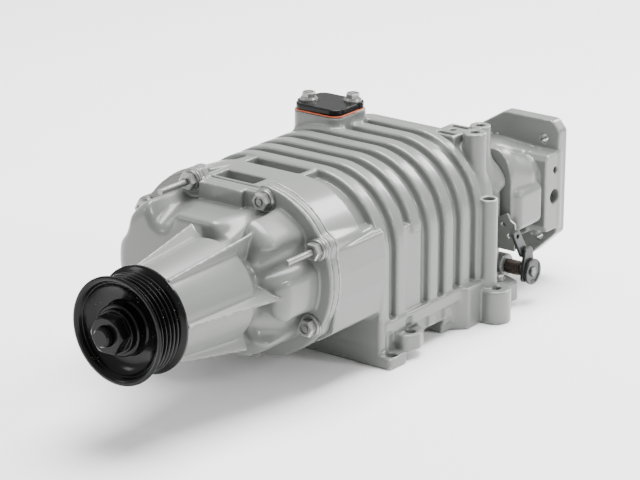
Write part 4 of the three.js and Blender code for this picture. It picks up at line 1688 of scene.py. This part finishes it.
@dataclass
class Pulley:
    """The belt pulley: ribbed rim, rear flange, dished face and hub, with its nut."""

    width: float = 26.8
    rim_radius: float = 33.8
    crest_radius: float = 31.4
    root_radius: float = 28.7
    pitch: float = 3.56
    grooves: int = 6
    first_groove: float = 1.9

    def profile(self) -> list[Point2]:
        """The section of the pulley, radius and y, round once.

        Returns:
            The section, as radius and y in millimetres.
        """
        tip, root = 0.3, 0.25
        points = [(8.8, 1.2), (15.4, 1.2), (16.2, 2.0), (16.6, 8.0), (17.6, 9.0), (22.0, 8.8),
                  (26.0, 7.2), (28.6, 4.2), (30.0, 1.6), (30.9, 0.5), (32.0, 0.0), (33.1, 0.1),
                  (self.rim_radius, 0.5), (self.rim_radius, 1.0), (33.3, 1.5), (self.crest_radius, 1.8)]
        for index in range(self.grooves):
            start = self.first_groove + index * self.pitch
            points += [
                (self.crest_radius, start + tip), (self.root_radius, start + self.pitch / 2 - root),
                (self.root_radius, start + self.pitch / 2 + root),
                (self.crest_radius, start + self.pitch - tip),
            ]
        end = self.first_groove + self.grooves * self.pitch
        back = self.width
        points += [(33.0, end + 0.5), (33.5, end + 0.9), (self.rim_radius, end + 1.4), (33.7, back - 0.7),
                   (33.2, back - 0.2), (32.4, back), (27.0, back), (26.0, back - 1),
                   (25.0, 13.5), (17.5, 13.0), (16.0, 14.5), (15.6, 24.4), (15.0, 25.0), (8.8, 25.0)]
        return points

    def build(self, material: bpy.types.Material) -> None:
        """Turn the pulley and cut its nut.

        Args:
            material: The gloss black of the pulley.
        """
        x = ROTOR_HALF_CENTRES
        settle(lathe("belt_pulley", self.profile(), x, 0, material), "drive", Slot.BLACK_GLOSS, "pulley")
        c = Casting((x - 15, -11, -15), (x + 15, 3, 15), 0.32)
        c.add(Extrusion(Hexagon(x, 0, 21.6), Axis.Y, -9.5, 0.6, 0.25))
        bevel = Cone(x, 0, -9.6, -6.0, 10.6, 16.2, 0.1)
        outer = Cone(x, 0, -6.3, 3.0, 15.6, 15.6, 0.1)
        c.values[:] = np.maximum(c.values, self._shared(c, bevel, outer))
        c.add(rod_y(x, 0, -1.6, 1.0, 13.8, 0.5), blend=0.3)
        c.cut(rod_y(x, 0, -20, 10, 6.2, 0.1), blend=0.7)
        settle(c.to_object("pulley_hex_nut", material), "drive", Slot.BLACK_GLOSS, "pulley_nut")

    @staticmethod
    def _shared(c: Casting, *shapes: Shape) -> np.ndarray:
        """Distances to the union of some shapes over the whole grid.

        Args:
            c: The grid to measure on.
            *shapes: The shapes.

        Returns:
            The distances.
        """
        at = [c.lines[k].reshape([-1 if k == j else 1 for j in range(3)]) for k in range(3)]
        found = shapes[0].distance(at)
        for shape in shapes[1:]:
            found = np.minimum(found, shape.distance(at))
        return found


@dataclass
class Screws:
    """Every visible screw: the cover's bolts and studs, the port's and the elbow's."""

    seat: float = 136.5
    stud_length: float = 25.2
    elbow_seat: float = 358.4
    port_seat: float = 63.3
    shank: float = 12.0

    def build(self, zinc: bpy.types.Material) -> None:
        """Grow the screws on their places.

        Args:
            zinc: The look of zinc-plated steel.
        """
        forward = screw_tree("screws_forward", zinc, (math.pi / 2, 0, 0))
        upward = screw_tree("screws_upward", zinc, (0, 0, 0))
        plain = [(x, self.seat, z) for i, (x, z) in enumerate(COVER_BOLTS) if i not in STUDS]
        names = [f"cover_bolt_{i + 1}" for i in range(len(COVER_BOLTS)) if i not in STUDS]
        settle(grown("cover_bolts", plain, forward, {"Shank Length": 14.0}, zinc), "housing",
               Slot.ZINC_STEEL, *names)
        studs = [(COVER_BOLTS[i][0], self.seat, COVER_BOLTS[i][1]) for i in STUDS]
        long_pin = {"Pin Length": self.stud_length, "Pin Radius": 2.1, "Recess Depth": 0.6,
                    "Recess Radius": 3.1, "Shank Length": 14.0}
        settle(grown("cover_studs", studs, forward, long_pin, zinc), "housing", Slot.ZINC_STEEL,
               "stud_bolt_1", "stud_bolt_3")
        elbow_at = [(x, self.elbow_seat, z) for x, z in ((-40, 22), (8, 23), (54, 22), (-40, -18))]
        backward = screw_tree("screws_backward", zinc, (-math.pi / 2, 0, 0))
        elbow_sizes = {"Flange Radius": 6.2, "Hex Radius": 5.2, "Hex Height": 4.4,
                       "Shank Length": self.shank}
        settle(grown("elbow_screws", elbow_at, backward, elbow_sizes, zinc), "housing", Slot.ZINC_STEEL,
               "elbow_screw_1", "elbow_screw_2", "elbow_screw_3", "elbow_screw_4")
        port_at = [(-43.5, 281.5, self.port_seat), (-18.5, 296.5, self.port_seat)]
        port_sizes = {"Flange Radius": 6.0, "Hex Radius": 4.8, "Hex Height": 4.4,
                      "Shank Length": self.shank,
                      "Recess Radius": 3.0, "Recess Depth": 0.6, "Pin Length": 0.6}
        settle(grown("port_screws", port_at, upward, port_sizes, zinc), "housing", Slot.ZINC_STEEL,
               "port_bolt_1", "port_bolt_2")
        ear_sizes = {"Flange Radius": 4.6, "Hex Radius": 3.6, "Hex Height": 3.2, "Shank Length": 3.0,
                     "Recess Radius": 2.0, "Recess Depth": 0.5, "Pin Length": 0.4, "Pin Radius": 1.2}
        settle(grown("ear_screw", [(72, 338, -54.4)], upward, ear_sizes, zinc), "housing",
               Slot.ZINC_STEEL)


@dataclass
class TopPort:
    """The gasket and black cover on the port boss."""

    centre_x: float = -30.0
    centre_y: float = 286.0

    def build(self, black: bpy.types.Material, red: bpy.types.Material) -> None:
        """Cut the gasket and the cover plate."""
        self._plate("port_gasket_sheet", red, 58.1, 58.95, 0.4, 0.35, Slot.GASKET_RED, "port_gasket")
        self._plate("port_cover_plate", black, 59.2, 63.2, 0.0, 0.45, Slot.BLACK_GLOSS, "port_cover")

    def _plate(
        self, name: str, material: bpy.types.Material, low: float, high: float, grow: float,
        step: float, slot: Slot, node: str,
    ) -> None:
        """One plate with rounded corners that swell round its two screws.

        Args:
            name: The piece's name.
            material: Its look.
            low: The plate's underside.
            high: The plate's top.
            grow: How far its outline stands beyond the cover plate.
            step: The grid's spacing.
            slot: The name of its look.
            node: The CAD node that it stands in for.
        """
        x, y = self.centre_x, self.centre_y
        c = Casting((x - 23, y - 21, low - 1.5), (x + 23, y + 21, high + 2), step)
        c.add(Extrusion(RoundRect(x - 18.6 - grow, x + 18.6 + grow, y - 16.4 - grow, y + 16.4 + grow, 7),
                        Axis.Z, low, high, min(0.8, (high - low) * 0.4)))
        c.add(rod_z(x - 13.5, y - 4.5, low, high, 7.6 + grow, 0.3),
              rod_z(x + 11.5, y + 10, low, high, 7.6 + grow, 0.3), blend=0.5)
        settle(c.to_object(name, material), "housing", slot, node)


@dataclass
class Bypass:
    """The bypass valve's casting, and the linkage on the end of its shaft."""

    axis_y: float = 352.0
    axis_z: float = -49.0

    def build(self, finishes: dict[Slot, bpy.types.Material]) -> None:
        """Make the casting, spring, levers, wheel and bracket, in that order.

        Args:
            finishes: The built looks by slot.
        """
        self._casting(finishes[Slot.CAST_PAINT])
        self._spring(finishes[Slot.SPRING_STEEL])
        self._lever(finishes[Slot.DARK_STEEL])
        self._arm(finishes[Slot.DARK_STEEL])
        self._wheel(finishes[Slot.DARK_STEEL])
        self._bracket(finishes[Slot.ZINC_STEEL])

    def _bore(self) -> Extrusion:
        """The hole for the shaft through the lever and the wheel."""
        return rod_x(self.axis_y, self.axis_z, 60, 100, 3.3, 0.1)

    def _casting(self, material: bpy.types.Material) -> None:
        """The valve's body, with its passage and its shaft boss.

        Args:
            material: Its look.
        """
        y, z = self.axis_y, self.axis_z
        c = Casting((5, 334, -67), (72, 371, -25), 0.8)
        c.add(block((8, 336, -64), (52, 368, -28), 2.0))
        c.add(rod_x(y, z, 50, 69, 8, 0.8), blend=3.0)
        c.cut(rod_z(30, y, -80, -34, 12.5), block((22, 338, -36), (38, 349, -20), 0.5),
              rod_x(y, z, 12, 80, 3.3), blend=0.5)
        settle(c.to_object("bypass_casting", material), "housing", Slot.CAST_PAINT, "bypass_body")

    def _spring(self, material: bpy.types.Material) -> None:
        """The return spring, round its sleeve.

        Args:
            material: Its look.
        """
        y, z = self.axis_y, self.axis_z
        sleeve = Casting((68, y - 7, z - 7), (83, y + 7, z + 7), 0.35)
        sleeve.add(rod_x(y, z, 69.5, 80.5, 4.6, 0.3)).cut(rod_x(y, z, 60, 90, 3.6), blend=0.2)
        settle(sleeve.to_object("spring_sleeve", material), "housing", Slot.SPRING_STEEL)
        coil = grown("spring_coil", [(70.6, y, z)], coil_tree(material), {}, material, 60)
        settle(coil, "housing", Slot.SPRING_STEEL, "return_spring")

    def _lever(self, material: bpy.types.Material) -> None:
        """The plate on the shaft that carries the arm.

        Args:
            material: Its look.
        """
        y, z = self.axis_y, self.axis_z
        lever = Casting((82.5, y - 10, z - 13), (88, y + 10, z + 20), 0.3)
        shape = Outline(((y - 4, z - 4), (y + 4, z - 4), (y + 1.5, z + 13), (y - 1.5, z + 13)), 3.2)
        lever.add(Extrusion(shape, Axis.X, 84, 86.4, 0.4)).cut(self._bore(), blend=0.3)
        settle(lever.to_object("lever_plate", material), "bypass", Slot.DARK_STEEL, "bypass_lever")

    def _arm(self, material: bpy.types.Material) -> None:
        """The arm that the rod from the actuator pulls on.

        Args:
            material: Its look.
        """
        y, z = self.axis_y, self.axis_z
        arm = Casting((79.5, y - 18, z - 2), (85, y + 8, z + 34), 0.3)
        reach = Outline(((y - 3.4, z + 10.5), (y + 3.4, z + 10.5), (y - 8.6, z + 29),
                         (y - 13.6, z + 27.4)), 1.0)
        arm.add(Extrusion(reach, Axis.X, 81, 83.6, 0.5))
        arm.cut(rod_x(y - 10, z + 26, 70, 100, 1.6), blend=0.3)
        settle(arm.to_object("pull_arm", material), "bypass", Slot.DARK_STEEL, "bypass_arm")

    def _wheel(self, material: bpy.types.Material) -> None:
        """The round plate on the shaft's end, with its hooked slot.

        Args:
            material: Its look.
        """
        y, z = self.axis_y, self.axis_z
        wheel = Casting((85.5, y - 10, z - 12), (91, y + 14, z + 10), 0.3)
        wy, wz = y + 2, z - 1
        wheel.add(rod_x(wy, wz, 86.7, 89.2, 8.8, 0.5))
        slot = ((wy + 5.4, wz + 4.6), (wy + 5.4, wz - 2.2), (wy + 2.0, wz - 6.2), (wy - 3.4, wz - 5.4))
        wheel.cut(*(Rod((89.4, *a), (89.4, *b), 1.1, 1.1) for a, b in zip(slot, slot[1:])), blend=0.3)
        wheel.cut(self._bore(), blend=0.2)
        settle(wheel.to_object("slotted_wheel", material), "bypass", Slot.DARK_STEEL, "lever_wheel")

    @staticmethod
    def _bracket(material: bpy.types.Material) -> None:
        """The plate beside the linkage, held off the housing by its foot.

        Args:
            material: Its look.
        """
        bracket = Casting((62, 342, -38), (93, 349, -7), 0.35)
        sheet = Outline(((66, -34), (68, -14), (73, -11), (75, -15), (78.6, -17), (78.6, -34)), 1.2)
        bracket.add(Extrusion(sheet, Axis.Y, 344.2, 346.0, 0.3))
        bracket.cut(rod_y(70.6, -18, 340, 350, 1.7), rod_y(75.6, -25, 340, 350, 1.7), blend=0.2)
        bracket.add(block((62.5, 344.2, -33), (68, 349.5, -20), 0.5), blend=0.4)
        settle(bracket.to_object("cable_bracket", material), "housing", Slot.ZINC_STEEL)


@dataclass
class Internals:
    """The CAD pieces that show as they are: shafts, gears, rotors, bearings and seals."""

    def dress(self, finishes: dict[Slot, bpy.types.Material]) -> None:
        """Give each shown CAD node its finish by what it is made of.

        Args:
            finishes: The built looks by slot.
        """
        words = (
            ("input_shaft", Slot.BLACK_GLOSS), ("bypass_shaft", Slot.DARK_STEEL),
            ("seal", Slot.SEAL_RUBBER),
            ("rotor", Slot.BARE_ALUMINIUM), ("bearing", Slot.GROUND_STEEL),
            ("gear", Slot.GROUND_STEEL), ("shaft", Slot.GROUND_STEEL), ("disc", Slot.BARE_ALUMINIUM),
            ("spacer", Slot.GROUND_STEEL), ("plug", Slot.DARK_STEEL),
        )
        for name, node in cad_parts.items():
            if node.hide_render:
                continue
            slot = next((s for word, s in words if word in name), Slot.ZINC_STEEL)
            node.data.materials.clear()
            node.data.materials.append(finishes[slot])
            LOG.info("%s keeps its CAD mesh in %s", name, slot.value)


@dataclass(frozen=True)
class SoftBox:
    """One square soft box: its place, what it faces, its side and its power."""

    name: str
    at: Point3
    towards: Point3
    size: float
    power: float

    def hang(self) -> None:
        """Add the lamp."""
        data = bpy.data.lights.new(self.name, "AREA")
        data.size = self.size
        data.energy = self.power
        lamp = bpy.data.objects.new(self.name, data)
        lamp.location = self.at
        way = Vector(self.towards) - Vector(self.at)
        lamp.rotation_euler = way.to_track_quat("-Z", "Y").to_euler()
        bpy.context.scene.collection.objects.link(lamp)


SOFT_BOXES = (
    SoftBox("overhead", (0.0, 0.35, 1.5), (0.0, 0.0, 0.05), 1.1, 74.0),
    SoftBox("front_left", (-1.5, -1.5, 1.0), (0.0, 0.0, 0.05), 0.5, 6.0),
    SoftBox("right", (1.7, 0.5, 0.9), (0.0, 0.05, 0.05), 0.4, 15.0),
    SoftBox("behind", (0.3, 1.7, 1.1), (0.0, 0.05, 0.08), 0.6, 28.0),
)


@dataclass
class Studio:
    """A plain pale floor, soft boxes and the camera."""

    camera_at: Point3 = (1.178, -1.5338, 0.733)
    camera_down: float = 18.95
    camera_round: float = 36.85
    lens: float = 180.0
    air: float = 0.8
    floor_reach: float = 12.0

    def build(self) -> None:
        """Set the floor, the lights and the camera."""
        low, _high = CAD_BOX
        self._floor(low.z)
        for soft_box in SOFT_BOXES:
            soft_box.hang()
        world = bpy.data.worlds.new("studio_air")
        world.use_nodes = True
        sky = world.node_tree.nodes["Background"]
        sky.inputs["Color"].default_value = (1.0, 1.0, 1.0, 1.0)
        sky.inputs["Strength"].default_value = self.air
        bpy.context.scene.world = world
        data = bpy.data.cameras.new("camera")
        data.lens = self.lens
        data.clip_end = 50.0
        camera = bpy.data.objects.new("camera", data)
        camera.location = self.camera_at
        camera.rotation_euler = (math.radians(90 - self.camera_down), 0, math.radians(self.camera_round))
        bpy.context.scene.collection.objects.link(camera)
        bpy.context.scene.camera = camera

    def _floor(self, height: float) -> None:
        """A wide pale floor just under the feet.

        Args:
            height: The floor's z in metres.
        """
        mesh = bpy.data.meshes.new("floor")
        reach = self.floor_reach
        mesh.from_pydata([(-reach, -reach, height), (reach, -reach, height), (reach, reach, height),
                          (-reach, reach, height)], [], [(0, 1, 2, 3)])
        paper = bpy.data.materials.new("floor_paper")
        paper.use_nodes = True
        shader = paper.node_tree.nodes["Principled BSDF"]
        shader.inputs["Roughness"].default_value = 0.85
        noise = paper.node_tree.nodes.new("ShaderNodeTexNoise")
        noise.inputs["Scale"].default_value = 300.0
        ramp = paper.node_tree.nodes.new("ShaderNodeMix")
        ramp.data_type = "RGBA"
        ramp.inputs[6].default_value = (0.975, 0.975, 0.975, 1)
        ramp.inputs[7].default_value = (0.99, 0.99, 0.99, 1)
        paper.node_tree.links.new(noise.outputs["Fac"], ramp.inputs[0])
        paper.node_tree.links.new(ramp.outputs[2], shader.inputs["Base Color"])
        mesh.materials.append(paper)
        floor = bpy.data.objects.new("floor", mesh)
        bpy.context.scene.collection.objects.link(floor)


def main() -> None:
    """Build the finishes, every sub-assembly and the studio, in order."""
    logging.basicConfig(level=logging.INFO, format="%(name)s: %(message)s")
    groups = Groups()
    finishes = {f.slot: f.build(groups) for f in FINISHES}
    paint = finishes[Slot.CAST_PAINT]
    cover = FrontCover()
    cover.build(paint)
    cover.plug(finishes[Slot.ZINC_STEEL])
    BearingPlate().build(paint)
    RotorHousing().build(paint)
    InletElbow().build(paint)
    Pulley().build(finishes[Slot.BLACK_GLOSS])
    Screws().build(finishes[Slot.ZINC_STEEL])
    TopPort().build(finishes[Slot.BLACK_GLOSS], finishes[Slot.GASKET_RED])
    Bypass().build(finishes)
    Internals().dress(finishes)
    Studio().build()


if __name__ == "__main__":
    main()
